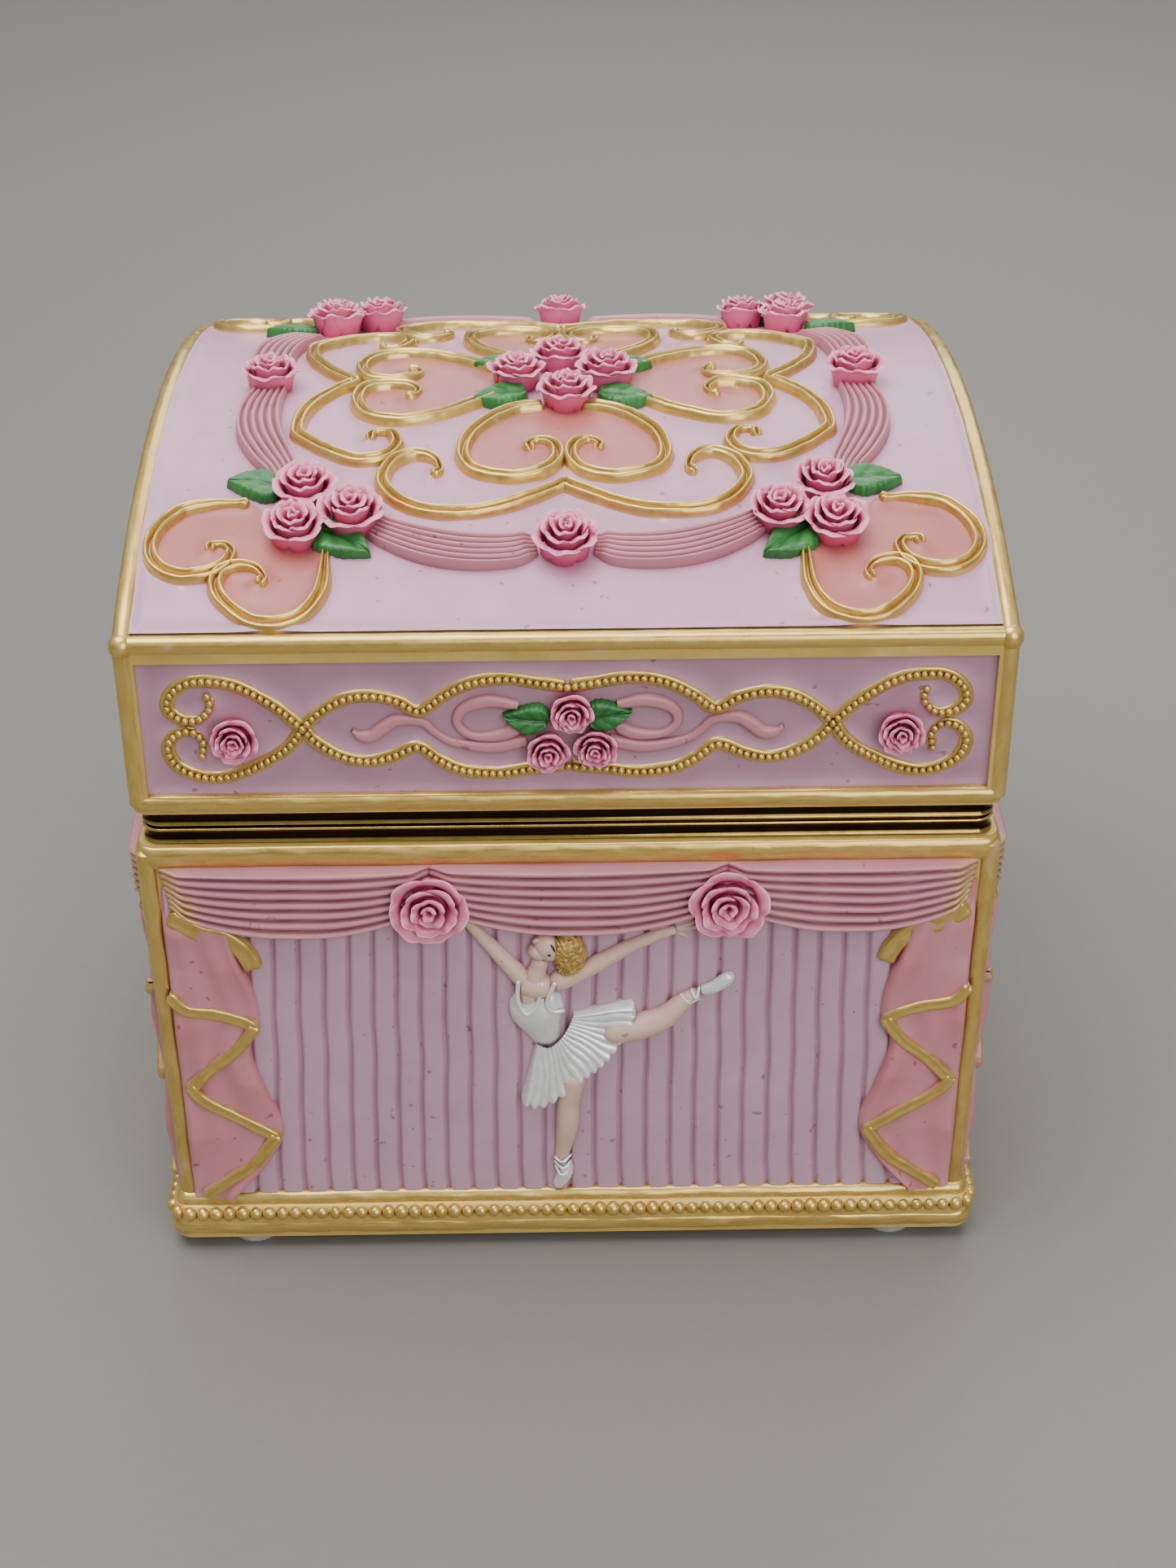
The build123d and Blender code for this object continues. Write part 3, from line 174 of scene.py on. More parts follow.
def distance_to(a, b, path):
    """Distance of every (a, b) to a plane path."""
    shape = a.shape
    flat_a = a.ravel()
    flat_b = b.ravel()
    best = np.full(flat_a.shape, 1e9)
    for point in path:
        np.minimum(best, (flat_a - point[0]) ** 2 + (flat_b - point[1]) ** 2, out=best)
    return np.sqrt(best).reshape(shape)


def inside(a, b, outline):
    """Which (a, b) are inside a closed plane outline."""
    result = np.zeros(a.shape, bool)
    for (x0, y0), (x1, y1) in zip(outline, np.roll(outline, -1, axis=0)):
        crosses = (y0 > b) != (y1 > b)
        at = (x1 - x0) * (b - y0) / (y1 - y0 + 1e-12) + x0
        result ^= crosses & (a < at)
    return result


# --- mesh collector ----------------------------------------------------------------------
class Cast:
    """Painted surface patches, collected in millimetres and made into one piece."""

    def __init__(self):
        self.verts = []
        self.faces = []
        self.paint = []
        self.gold = []
        self.brush = []
        self.count = 0

    def add(self, verts, faces, paint, gold, brush):
        verts = np.asarray(verts, float).reshape(-1, 3)
        number = len(verts)
        self.verts.append(verts)
        self.faces.append(np.asarray(faces) + self.count)
        self.paint.append(np.broadcast_to(np.asarray(paint, float).reshape(-1, 3), (number, 3)))
        self.gold.append(np.broadcast_to(np.asarray(gold, float).ravel(), (number,)))
        self.brush.append(np.asarray(brush, float).reshape(-1, 3))
        self.count += number

    def patch(self, points, paint, gold=0.0, brush=None, loop_u=False, loop_v=False, turn=False):
        """Grid of quads through points[u, v]; `turn` flips their side."""
        rows, cols = points.shape[:2]
        index = np.arange(rows * cols).reshape(rows, cols)
        if loop_u:
            index = np.vstack([index, index[:1]])
        if loop_v:
            index = np.hstack([index, index[:, :1]])
        quads = np.stack([index[:-1, :-1], index[1:, :-1], index[1:, 1:], index[:-1, 1:]], axis=-1)
        quads = quads.reshape(-1, 4)
        if turn:
            quads = quads[:, ::-1]
        if brush is None:
            brush = points * 0.25
        self.add(points, quads, paint, gold, brush)

    def piece(self, name, material, body, slot, replaces=()):
        verts = np.vstack(self.verts) * MM
        faces = [tuple(face) for block in self.faces for face in block.tolist()]
        mesh = bpy.data.meshes.new(name)
        mesh.from_pydata(verts.tolist(), [], faces)
        colours = np.hstack([np.vstack(self.paint), np.ones((self.count, 1))])
        layer = mesh.attributes.new("paint", "FLOAT_COLOR", "POINT")
        layer.data.foreach_set("color", colours.ravel())
        layer = mesh.attributes.new("gold", "FLOAT", "POINT")
        layer.data.foreach_set("value", np.concatenate(self.gold))
        layer = mesh.attributes.new("brush", "FLOAT_VECTOR", "POINT")
        layer.data.foreach_set("vector", np.vstack(self.brush).ravel())
        mesh.polygons.foreach_set("use_smooth", np.ones(len(mesh.polygons), bool))
        mesh.update()
        made = bpy.data.objects.new(name, mesh)
        bpy.context.scene.collection.objects.link(made)
        mesh.materials.append(material)
        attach(made, body)
        if replaces:
            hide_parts(*replaces)
        return made


# --- materials ---------------------------------------------------------------------------
class Nodes:
    """Short helper over one material's node tree."""

    def __init__(self, name):
        self.material = bpy.data.materials.new(name)
        self.material.use_nodes = True
        self.tree = self.material.node_tree
        self.shader = self.tree.nodes["Principled BSDF"]

    def add(self, kind, **values):
        node = self.tree.nodes.new(kind)
        for key, value in values.items():
            if key.startswith("in_"):
                socket = int(key[3:]) if key[3:].isdigit() else key[3:].replace("_", " ")
                node.inputs[socket].default_value = value
            else:
                setattr(node, key, value)
        return node

    def link(self, source, target):
        self.tree.links.new(source, target)

    def coords(self, scale=(1, 1, 1), attribute=None):
        """Object or attribute coordinates, stretched."""
        mapping = self.add("ShaderNodeMapping")
        mapping.inputs["Scale"].default_value = scale
        if attribute:
            source = self.add("ShaderNodeAttribute", attribute_name=attribute).outputs["Vector"]
        else:
            source = self.add("ShaderNodeTexCoord").outputs["Object"]
        self.link(source, mapping.inputs["Vector"])
        return mapping.outputs["Vector"]

    def noise(self, vector, scale, detail=4.0, rough=0.55, distortion=0.0):
        node = self.add("ShaderNodeTexNoise")
        node.inputs["Scale"].default_value = scale
        node.inputs["Detail"].default_value = detail
        node.inputs["Roughness"].default_value = rough
        node.inputs["Distortion"].default_value = distortion
        self.link(vector, node.inputs["Vector"])
        return node.outputs["Fac"]

    def ramp(self, value, stops):
        node = self.add("ShaderNodeValToRGB")
        elements = node.color_ramp.elements
        while len(elements) < len(stops):
            elements.new(0.5)
        for element, (place, colour) in zip(elements, stops):
            element.position = place
            element.color = (*colour, 1) if len(colour) == 3 else colour
        self.link(value, node.inputs["Fac"])
        return node.outputs["Color"]

    def math(self, kind, first, second):
        node = self.add("ShaderNodeMath", operation=kind)
        for socket, value in zip(node.inputs, (first, second)):
            if isinstance(value, (int, float)):
                socket.default_value = value
            else:
                self.link(value, socket)
        return node.outputs[0]

    def blend(self, share, first, second, kind="MIX"):
        node = self.add("ShaderNodeMix", data_type="RGBA", blend_type=kind)
        colours = [s for s in node.inputs if s.type == "RGBA"]
        for socket, value in zip((node.inputs[0], colours[0], colours[1]), (share, first, second)):
            if isinstance(value, (int, float)):
                socket.default_value = value
            elif isinstance(value, tuple):
                socket.default_value = (*value, 1)
            else:
                self.link(value, socket)
        return [s for s in node.outputs if s.type == "RGBA"][0]

    def bump(self, height, strength, distance, below=None):
        node = self.add("ShaderNodeBump")
        node.inputs["Strength"].default_value = strength
        node.inputs["Distance"].default_value = distance
        self.link(height, node.inputs["Height"])
        if below is not None:
            self.link(below, node.inputs["Normal"])
        return node.outputs["Normal"]

    def set(self, **values):
        for key, value in values.items():
            socket = self.shader.inputs[key.replace("_", " ")]
            if isinstance(value, (int, float, tuple)):
                socket.default_value = (*value, 1) if isinstance(value, tuple) and len(value) == 3 else value
            else:
                self.link(value, socket)


GOLD_STOPS = (
    (0.20, (0.590, 0.375, 0.090)),
    (0.45, (0.660, 0.445, 0.115)),
    (0.62, (0.700, 0.490, 0.140)),
    (0.84, (0.800, 0.610, 0.220)),
)


def painted_resin():
    """Satin paint over cast resin, with brushed gold where the piece says so."""
    n = Nodes("painted_resin")
    paint = n.add("ShaderNodeAttribute", attribute_name="paint").outputs["Color"]
    gold = n.add("ShaderNodeAttribute", attribute_name="gold").outputs["Fac"]
    place = n.coords()
    cloud = n.noise(place, 90, 5, 0.6)
    speck = n.noise(place, 900, 3, 0.6)
    streak = n.noise(n.coords((1.0, 2.6, 1.0), "brush"), 1.1, 2.0, 0.5, 0.5)
    tone = n.ramp(cloud, ((0.25, (0.90, 0.88, 0.90)), (0.75, (1.06, 1.05, 1.06))))
    colour = n.blend(1.0, paint, tone, "MULTIPLY")
    fleck = n.ramp(n.noise(place, 520, 1.5, 0.5), ((0.715, (1, 1, 1)), (0.75, (0.62, 0.52, 0.56))))
    colour = n.blend(1.0, colour, fleck, "MULTIPLY")
    gold_colour = n.ramp(streak, GOLD_STOPS)
    # Painted shade: ambient occlusion darkens both the paint and the gold in hollows and grooves.
    painted_shade_ao = n.add("ShaderNodeAmbientOcclusion", samples=6)
    painted_shade_ao.inputs["Distance"].default_value = 0.0014
    shade = n.ramp(painted_shade_ao.outputs["AO"], ((0.30, (0.74, 0.62, 0.66)), (0.85, (1, 1, 1))))
    colour = n.blend(1.0, colour, shade, "MULTIPLY")
    gold_painted_shade = n.ramp(painted_shade_ao.outputs["AO"], ((0.25, (0.42, 0.27, 0.10)), (0.80, (1, 1, 1))))
    gold_colour = n.blend(1.0, gold_colour, gold_painted_shade, "MULTIPLY")
    n.set(
        Base_Color=n.blend(gold, colour, gold_colour),
        Metallic=n.math("MULTIPLY", gold, 0.72),
    )
    rough_paint = n.math("MULTIPLY_ADD", cloud, 0.12)
    rough_paint.node.inputs[2].default_value = 0.36
    rough_gold = n.math("MULTIPLY_ADD", streak, 0.30)
    rough_gold.node.inputs[2].default_value = 0.13
    rough = n.add("ShaderNodeMix", data_type="FLOAT")
    n.link(gold, rough.inputs[0])
    n.link(rough_paint, rough.inputs[2])
    n.link(rough_gold, rough.inputs[3])
    n.set(Roughness=rough.outputs[0])
    lumps = n.bump(cloud, 0.35, 0.0002)
    grain = n.bump(speck, 0.20, 0.00005, lumps)
    n.set(Normal=n.bump(streak, 0.10, 0.00010, grain), Specular_IOR_Level=0.5)
    n.set(Coat_Weight=0.12, Coat_Roughness=0.3)
    return n.material


def polished_metal(name, colour, dark, roughness, streak_scale, painted_reflection=False):
    """Bright plated metal with faint grain and marks, and painted shade in its recesses; the last flag
    multiplies in the piece's paint, which on the bezel is a painted dark reflection.
    """
    n = Nodes(name)
    place = n.coords((1, 1, 12))
    grain = n.noise(place, streak_scale, 4, 0.6)
    marks = n.noise(n.coords(), 160, 6, 0.7)
    # Painted shade: ambient occlusion darkens the metal's colour in recesses.
    recess = n.add("ShaderNodeAmbientOcclusion", samples=6)
    recess.inputs["Distance"].default_value = 0.003
    shade = n.ramp(recess.outputs["AO"], ((0.45, (0.07, 0.05, 0.03)), (0.80, (1, 1, 1))))
    face = n.ramp(marks, ((0.30, dark), (0.52, colour)))
    face = n.blend(1.0, face, shade, "MULTIPLY")
    if painted_reflection:
        face = n.blend(1.0, face, n.add("ShaderNodeAttribute", attribute_name="paint").outputs["Color"],
            "MULTIPLY")
    n.set(Base_Color=face, Metallic=1.0)
    rough = n.math("MULTIPLY_ADD", grain, roughness)
    rough.node.inputs[2].default_value = roughness * 0.6
    n.set(Roughness=rough, Normal=n.bump(grain, 0.10, 0.00004))
    return n.material


def velvet():
    """Short pile with a pale sheen at grazing angles."""
    n = Nodes("velvet")
    pile = n.noise(n.coords(), 2600, 3, 0.7)
    cloud = n.noise(n.coords(), 60, 4, 0.6)
    colour = n.ramp(cloud, ((0.3, (0.185, 0.030, 0.075)), (0.7, (0.290, 0.060, 0.125))))
    n.set(Base_Color=colour, Roughness=0.92, Sheen_Weight=0.85, Sheen_Roughness=0.35)
    n.set(Sheen_Tint=(0.95, 0.62, 0.72), Normal=n.bump(pile, 0.6, 0.00025), Specular_IOR_Level=0.15)
    return n.material


def felt():
    n = Nodes("felt")
    fibre = n.noise(n.coords((1, 1, 1)), 1500, 6, 0.75, 1.2)
    colour = n.ramp(fibre, ((0.3, (0.055, 0.018, 0.032)), (0.7, (0.120, 0.045, 0.075))))
    n.set(Base_Color=colour, Roughness=0.95, Normal=n.bump(fibre, 0.7, 0.0003), Specular_IOR_Level=0.1)
    return n.material


def moulded(name, colour, roughness, transmission=0.0):
    """Moulded plastic or rubber with a fine texture."""
    n = Nodes(name)
    grain = n.noise(n.coords(), 1200, 3, 0.6)
    cloud = n.noise(n.coords(), 120, 3, 0.5)
    darker = tuple(0.86 * channel for channel in colour)
    n.set(Base_Color=n.ramp(cloud, ((0.3, darker), (0.7, colour))), Roughness=roughness)
    n.set(Normal=n.bump(grain, 0.15, 0.00005), Transmission_Weight=transmission)
    return n.material


def mirror_glass():
    n = Nodes("mirror_glass")
    haze = n.noise(n.coords(), 25, 5, 0.6)
    rough = n.math("MULTIPLY_ADD", haze, 0.03)
    rough.node.inputs[2].default_value = 0.0
    n.set(Base_Color=(0.86, 0.88, 0.89), Metallic=1.0, Roughness=rough)
    return n.material


def pearl_paint():
    """Silver-white pearl paint, with painted shade darkening its hollows so that the ridges look brighter."""
    n = Nodes("pearl_paint")
    streak = n.noise(n.coords((1.0, 4.0, 1.0), "brush"), 2.2, 4, 0.6, 0.3)
    # Painted shade: ambient occlusion darkens the pearl paint in hollows.
    painted_shade_ao = n.add("ShaderNodeAmbientOcclusion", samples=6)
    painted_shade_ao.inputs["Distance"].default_value = 0.0012
    shade = n.ramp(painted_shade_ao.outputs["AO"], ((0.25, (0.42, 0.39, 0.38)), (0.80, (1, 1, 1))))
    tone = n.ramp(streak, ((0.3, (0.82, 0.82, 0.82)), (0.7, (0.98, 0.98, 0.98))))
    rough = n.math("MULTIPLY_ADD", streak, 0.22)
    rough.node.inputs[2].default_value = 0.20
    n.set(Base_Color=n.blend(1.0, tone, shade, "MULTIPLY"), Metallic=0.45, Roughness=rough)
    n.set(Normal=n.bump(streak, 0.3, 0.0001))
    return n.material


RESIN = painted_resin()
PEARL_PAINT = pearl_paint()
GOLD_METAL = polished_metal("gold_metal", (0.830, 0.560, 0.120), (0.640, 0.400, 0.070), 0.07, 240)
BEZEL_GOLD = polished_metal("bezel_gold", (0.900, 0.640, 0.180), (0.640, 0.400, 0.070), 0.06, 240, painted_reflection=True)
STEEL = polished_metal("steel", (0.560, 0.560, 0.570), (0.380, 0.380, 0.390), 0.26, 500)
BRASS = polished_metal("movement_brass", (0.700, 0.500, 0.200), (0.480, 0.330, 0.120), 0.22, 400)
ZINC = polished_metal("movement_zinc", (0.520, 0.520, 0.530), (0.380, 0.385, 0.400), 0.45, 90)
VELVET = velvet()
FELT = felt()
NYLON = moulded("nylon", (0.820, 0.790, 0.700), 0.35)
CLEAR = moulded("rubber_clear", (0.800, 0.810, 0.810), 0.22, 0.55)
MIRROR = mirror_glass()


# --- surfaces that ornament is laid on ---------------------------------------------------
def on_lid_top(a, b, h):
    """Lid top: a across, b towards the back, h out along the surface's normal."""
    a, b, h = np.broadcast_arrays(a, b, h)
    slope = np.arcsin(np.clip(b / DOME_RADIUS, -1, 1))
    reach = DOME_RADIUS + h
    return np.stack([a, reach * np.sin(slope), CREST - DOME_RADIUS + reach * np.cos(slope)], axis=-1)


def box_face(turn, half_x, half_y, foot, lean=0.0):
    """Outer face as a surface: a across, b up, h outwards. Narrow faces squeeze the pattern."""
    angle = math.radians(turn)
    reach = half_x if turn % 180 else half_y
    squeeze = half_y / half_x if turn % 180 else 1.0
    outward = np.array([math.sin(angle), -math.cos(angle), 0.0])
    across = np.array([math.cos(angle), math.sin(angle), 0.0])
    up = np.array([0, 0, 1.0]) + outward * lean
    origin = outward * reach + np.array([0, 0, foot])

    def place(a, b, h):
        a, b, h = np.broadcast_arrays(a, b, h)
        return origin + squeeze * a[..., None] * across + b[..., None] * up + h[..., None] * outward

    return place


TURNS = (0, 90, 180, 270)
LID_FACES = [box_face(t, HALF_W - PANEL_RECESS, HALF_D - PANEL_RECESS, LID_BOTTOM) for t in TURNS]
CASE_LEAN = CASE_TAPER / PANEL_HEIGHT
CASE_FACES = [box_face(t, CURTAIN_HALF_W, CURTAIN_HALF_D, PANEL_FOOT, CASE_LEAN) for t in TURNS]


def grid(low_a, high_a, step_a, low_b, high_b, step_b):
    a = np.linspace(low_a, high_a, int(round((high_a - low_a) / step_a)) + 1)
    b = np.linspace(low_b, high_b, int(round((high_b - low_b) / step_b)) + 1)
    return np.meshgrid(a, b, indexing="ij")


# --- swept scrolls, swags, roses, leaves, beads ------------------------------------------
DOUBLE_RIDGE = (
    (-1.45, -0.35), (-1.22, 0.05), (-1.05, 0.45), (-0.90, 0.90), (-0.66, 1.12), (-0.42, 1.10),
    (-0.20, 0.72), (-0.04, 0.42), (0.10, 0.48), (0.32, 0.92), (0.54, 1.06), (0.76, 0.96),
    (0.95, 0.52), (1.15, 0.08), (1.40, -0.35),
)
FLAT_HEM = (
    (-1.12, -1.60), (-1.06, 0.20), (-0.96, 0.78), (-0.76, 0.98), (-0.45, 0.90), (-0.10, 0.80), (0.25, 0.84),
    (0.60, 1.00), (0.88, 0.92), (1.02, 0.40), (1.10, -1.60),
)
ROPE_BED = (
    (-1.35, -0.35), (-1.18, 0.15), (-0.95, 0.62), (-0.62, 0.78), (-0.30, 0.70), (0.0, 0.66),
    (0.30, 0.70), (0.62, 0.78), (0.95, 0.62), (1.18, 0.15), (1.35, -0.35),
)


def lay(cast, surface, a, b, lift, paint, gold=0.0, brush=None):
    """Lays a patch on a surface with its outer side facing out."""
    a, b, lift = np.broadcast_arrays(a, b, lift)
    first = (a[1:, 1:] - a[:-1, 1:]) * (b[1:, 1:] - b[1:, :-1])
    second = (b[1:, 1:] - b[:-1, 1:]) * (a[1:, 1:] - a[1:, :-1])
    cast.patch(surface(a, b, lift), paint, gold, brush, turn=bool(np.sum(first - second) < 0))


SCROLL_STEP = 0.45


def scroll(cast, surface, points, half_width, height, profile, halo, seed=0, curl=(), flip=False, base=0.0):
    """Gold band swept along a smooth path. `curl` names the ends that taper to a bulb."""
    path = smooth_path(points, SCROLL_STEP)
    along, _, normal = path_frame(path)
    length = along[-1]
    width = np.full(len(along), half_width) * (1 + 0.07 * wobble(along, seed, 0.8))
    rise = np.full(len(along), height) * (1 + 0.06 * wobble(along, seed + 4, 0.6))
    for end in ("start", "end"):
        gap = along if end == "start" else length - along
        if end in curl:
            width *= 0.50 + 0.50 * smooth(1.5, 11.0, gap) + 0.28 * np.exp(-(((gap - 1.0) / 1.0) ** 2))
            rise *= 0.72 + 0.28 * smooth(1.0, 8.0, gap) + 0.18 * np.exp(-(((gap - 1.0) / 1.0) ** 2))
        tip = np.sqrt(np.clip(1 - (1 - np.clip(gap / 0.9, 0, 1)) ** 2, 0, 1))
        width *= 0.15 + 0.85 * tip
        rise *= tip
    u = np.array([p[0] for p in profile]) * (-1 if flip else 1)
    h = np.array([p[1] for p in profile])
    a = path[:, 0, None] + normal[:, 0, None] * u * width[:, None]
    b = path[:, 1, None] + normal[:, 1, None] * u * width[:, None]
    lift = base + np.where(h < 0, h, h * rise[:, None])
    line = 0.30 + 0.16 * wobble2(along[:, None], u[None, :] * 3, seed + 9, 1.3)
    gold = smooth(line - 0.10, line + 0.12, h[None, :] + 0 * lift)
    brush = np.stack(np.broadcast_arrays(along[:, None] * 0.30, u[None, :] * 0.8, float(seed)), axis=-1)
    shade = mix(flat(halo, gold.shape), flat(GOLD_PAINT, gold.shape), gold)
    lay(cast, surface, a, b, lift, shade, gold, brush)
    return path


def between(first, last, rows):
    """Two curves, each resampled to the same number of points."""
    even = np.linspace(0, 1, rows)
    curves = []
    for points in (first, last):
        path = smooth_path(points, 0.2)
        share = np.linspace(0, 1, len(path))
        curves.append(np.stack([np.interp(even, share, path[:, k]) for k in (0, 1)], axis=1))
    return curves


def swag(cast, surface, inner, outer, ribs, height, seed, base=0.0, gilt=None):
    """Ribbed drape between two curves, gathered at both ends; `gilt` is an end with gold on it."""
    rows = 84
    columns = 12 * ribs + 1
    first, last = between(inner, outer, rows)
    u = np.linspace(0, 1, columns)
    v = np.linspace(0, 1, rows)[:, None]
    bend = u + 0.018 * np.sin(v * 9 + seed) * np.sin(np.pi * u)
    a = first[:, 0, None] * (1 - bend) + last[:, 0, None] * bend
    b = first[:, 1, None] * (1 - bend) + last[:, 1, None] * bend
    groove = np.abs(np.sin(np.pi * ribs * (u + 0.012 * np.sin(v * 7 + seed * 2))))
    depth = 0.34 + 0.22 * np.sin(np.pi * v)
    edge = np.minimum(u, 1 - u) * ribs
    body = smooth(0.0, 0.42, edge)
    ends = smooth(0.0, 0.09, v) * smooth(0.0, 0.09, 1 - v)
    lift = base + height * body * (0.62 + 0.10 * np.sin(np.pi * v) + depth * groove**0.75) - 0.3 * (1 - body)
    lift = lift * (0.40 + 0.60 * ends)
    lift = np.where((v > 0.001) & (v < 0.999), lift, -0.3)
    # Painted shade: darker in the grooves between ribs and towards the drape's edges.
    colours = mix(flat(SWAG_PAINTED_SHADE, lift.shape), flat(SWAG_PINK, lift.shape),
        smooth(0.05, 0.62, groove) * (0.55 + 0.45 * body))
    brush = np.stack(np.broadcast_arrays(v * 6, u[None, :] * ribs, float(seed)), axis=-1)
    gold = 0.0
    if gilt is not None:
        gold = 0.9 * smooth(0.17, 0.04,
            np.abs(v - gilt) + 0.04 * wobble2(a, b, seed, 0.5)) * (0.35 + 0.65 * u)
    lay(cast, surface, a, b, lift, colours, gold, brush)


ROSE_LAYERS = (
    # petals, base radius, lip radius, base height, lip height, lip flare, half angle
    (5, 0.64, 0.84, -0.06, 0.70, 0.15, 0.96),
    (5, 0.44, 0.64, 0.00, 0.90, 0.08, 0.86),
    (3, 0.22, 0.42, 0.10, 1.00, 0.06, 1.32),
    (2, 0.05, 0.20, 0.30, 1.02, 0.03, 2.00),
)
PETAL_THICKNESS = 0.055


def petal(cast, frame, radius, height, layer, middle, seed):
    """One cupped petal with a rolled-back lip, closed from its inner to its outer side."""
    origin, across, up, out = frame
    _, base_r, lip_r, base_z, lip_z, flare, half = layer
    rng = np.random.default_rng(seed)
    phase, skew = rng.uniform(0, 6.28), rng.uniform(-0.05, 0.05)
    u = np.linspace(-1, 1, 17)[None, :]
    s = np.concatenate([np.linspace(0, 1, 12), np.linspace(1, 0, 10)])[:, None]
    face = np.concatenate([np.ones(12), -np.ones(10)])[:, None]
    point = 0.07 * np.exp(-(((u - 2 * skew) / 0.22) ** 2))
    ripple = 0.040 * np.sin(5.0 * u + phase) + 0.020 * np.sin(11 * u + 2 * phase)
    v = s * (0.93 - 0.26 * np.abs(u) ** 2.6 + point + ripple)
    turn = smooth(0.52, 1.0, v)
    r = base_r + (lip_r - base_r) * v**1.15 + flare * turn**1.6 + 0.045 * u * v + skew * v
    z = base_z + (lip_z - base_z) * np.sin(0.5 * np.pi * np.clip(v, 0,
        1) * 0.97) - 0.05 * turn**2 + 1.6 * ripple * turn
    slope_r, slope_z = (lip_r - base_r) + 2.2 * flare * turn, (lip_z - base_z) * (1 - 0.7 * turn)
    long = np.hypot(slope_r, slope_z)
    thick = PETAL_THICKNESS * face * np.sqrt(np.clip((1 - s) / 0.16, 0, 1)) * np.sqrt(np.clip(1 - u**2, 0, 1))
    r = r - thick * slope_z / long
    z = z + thick * slope_r / long
    angle = middle + u * half * (0.50 + 0.50 * smooth(0, 0.5, v)) + 0 * s
    x, y, lift = r * np.cos(angle) * radius, r * np.sin(angle) * radius, z * height
    points = origin + x[..., None] * across + y[..., None] * up + lift[..., None] * out
    lip = smooth(0.70, 1.0, v + 0.05 * np.sin(9 * u + phase))
    colours = mix(flat(ROSE_DEEP, x.shape), flat(ROSE_PINK, x.shape),
        smooth(0.10, 0.75, v) * np.where(face > 0, 0.75, 1.0))
    colours = mix(colours, flat(ROSE_PALE, x.shape), 0.60 * lip)
    cast.patch(points, colours, 0.0, np.stack([x, y, lift + seed], axis=-1))


def rose(cast, origin, across, up, out, radius, height, seed):
    """Open rose: rings of overlapping petals on a closed calyx."""
    theta = np.linspace(0, 2 * np.pi, 28, endpoint=False)[None, :]
    share = np.linspace(0.02, 1, 9)[:, None]
    r = 0.62 * radius * share + 0 * theta
    lift = height * np.where(share > 0.97, -0.08, 0.46 * (1 - share**2)) + 0 * theta
    points = origin + (r * np.cos(theta))[..., None] * across + (r * np.sin(theta))[...,
        None] * up + lift[..., None] * out
    cast.patch(points, flat(ROSE_DEEP, lift.shape), 0.0, None, loop_v=True)
    rng = np.random.default_rng(seed)
    for depth, layer in enumerate(ROSE_LAYERS):
        start = rng.uniform(0, 2 * np.pi)
        for k in range(layer[0]):
            middle = start + 2 * np.pi * (k + rng.uniform(-0.10, 0.10)) / layer[0]
            size = radius * rng.uniform(0.94, 1.03)
            petal(cast, (origin, across, up, out), size, height, layer, middle, 100 * seed + 10 * depth + k)


def leaf(cast, surface, a0, b0, turn, length, height, seed):
    """Veined leaf on a surface, its stem at (a0, b0)."""
    u = np.linspace(0, 1, 34)[:, None]
    v = np.linspace(-1, 1, 23)[None, :]
    teeth = 1 - (9 * u) % 1
    half = 0.37 * length * np.sin(np.pi * u**0.72) ** 0.9 * (1.02 - 0.22 * u) * (1 + 0.12 * teeth) + 0.05
    veins = np.abs(np.sin(10 * u - 3.6 * np.abs(v)))
    dome = (1 - np.abs(v) ** 6) ** 0.5
    arch = height * (0.42 + 0.58 * np.sin(np.pi * (0.20 + 0.62 * u)))
    lift = arch * dome * (0.72 + 0.34 * np.abs(v) ** 1.3) + 0.20 * veins**0.5 * dome
    lift -= 0.65 * np.exp(-((v / 0.10) ** 2)) * (1 - 0.5 * u)
    lift = np.where(np.abs(v) > 0.99, -0.3, lift)
    lift *= smooth(0, 0.05, u) * smooth(0, 0.04, 1 - u)
    x = u * length + 0 * v
    y = half * v + 0.08 * length * np.sin(2.5 * u + seed)
    cos, sin = math.cos(math.radians(turn)), math.sin(math.radians(turn))
    a = a0 + x * cos - y * sin
    b = b0 + x * sin + y * cos
    share = 0.55 * veins**0.8 * dome + 0.45 * smooth(0.3, 1.0, np.abs(v)) * (0.5 + 0.5 * np.sin(7 * u + seed))
    colours = mix(flat(LEAF_GREEN, lift.shape), flat(LEAF_LIGHT, lift.shape), np.clip(share, 0, 1) * 0.8)
    brush = np.stack(np.broadcast_arrays(x, y, float(seed)), axis=-1)
    lay(cast, surface, a, b, lift, colours, 0.0, brush)


def unit_bead(rows=6, cols=8):
    polar = np.linspace(0, np.pi, rows)[:, None]
    around = np.linspace(0, 2 * np.pi, cols, endpoint=False)[None, :]
    return np.stack(np.broadcast_arrays(
        np.sin(polar) * np.cos(around), np.sin(polar) * np.sin(around), np.cos(polar)), axis=-1)


BEAD = unit_bead()


def bead(cast, centre, radius, seed, shape=BEAD):
    """One small cast bead, never quite round."""
    size = radius * (1 + 0.09 * math.sin(seed * 12.9898))
    points = centre + shape * size * np.array([1 + 0.06 * math.sin(seed * 3.1), 1,
        1 + 0.05 * math.cos(seed * 4.7)])
    tone = 0.5 + 0.5 * math.sin(seed * 7.7)
    brush = np.array([seed * 0.37, tone, 0.2]) + shape * 0.35
    cast.patch(points, flat(GOLD_PAINT, points.shape[:2]), 1.0, brush, loop_v=True)


BAR_STEP = 1.5
BAR_SQUARENESS = 2.25
BAR_WEAR = 0.03


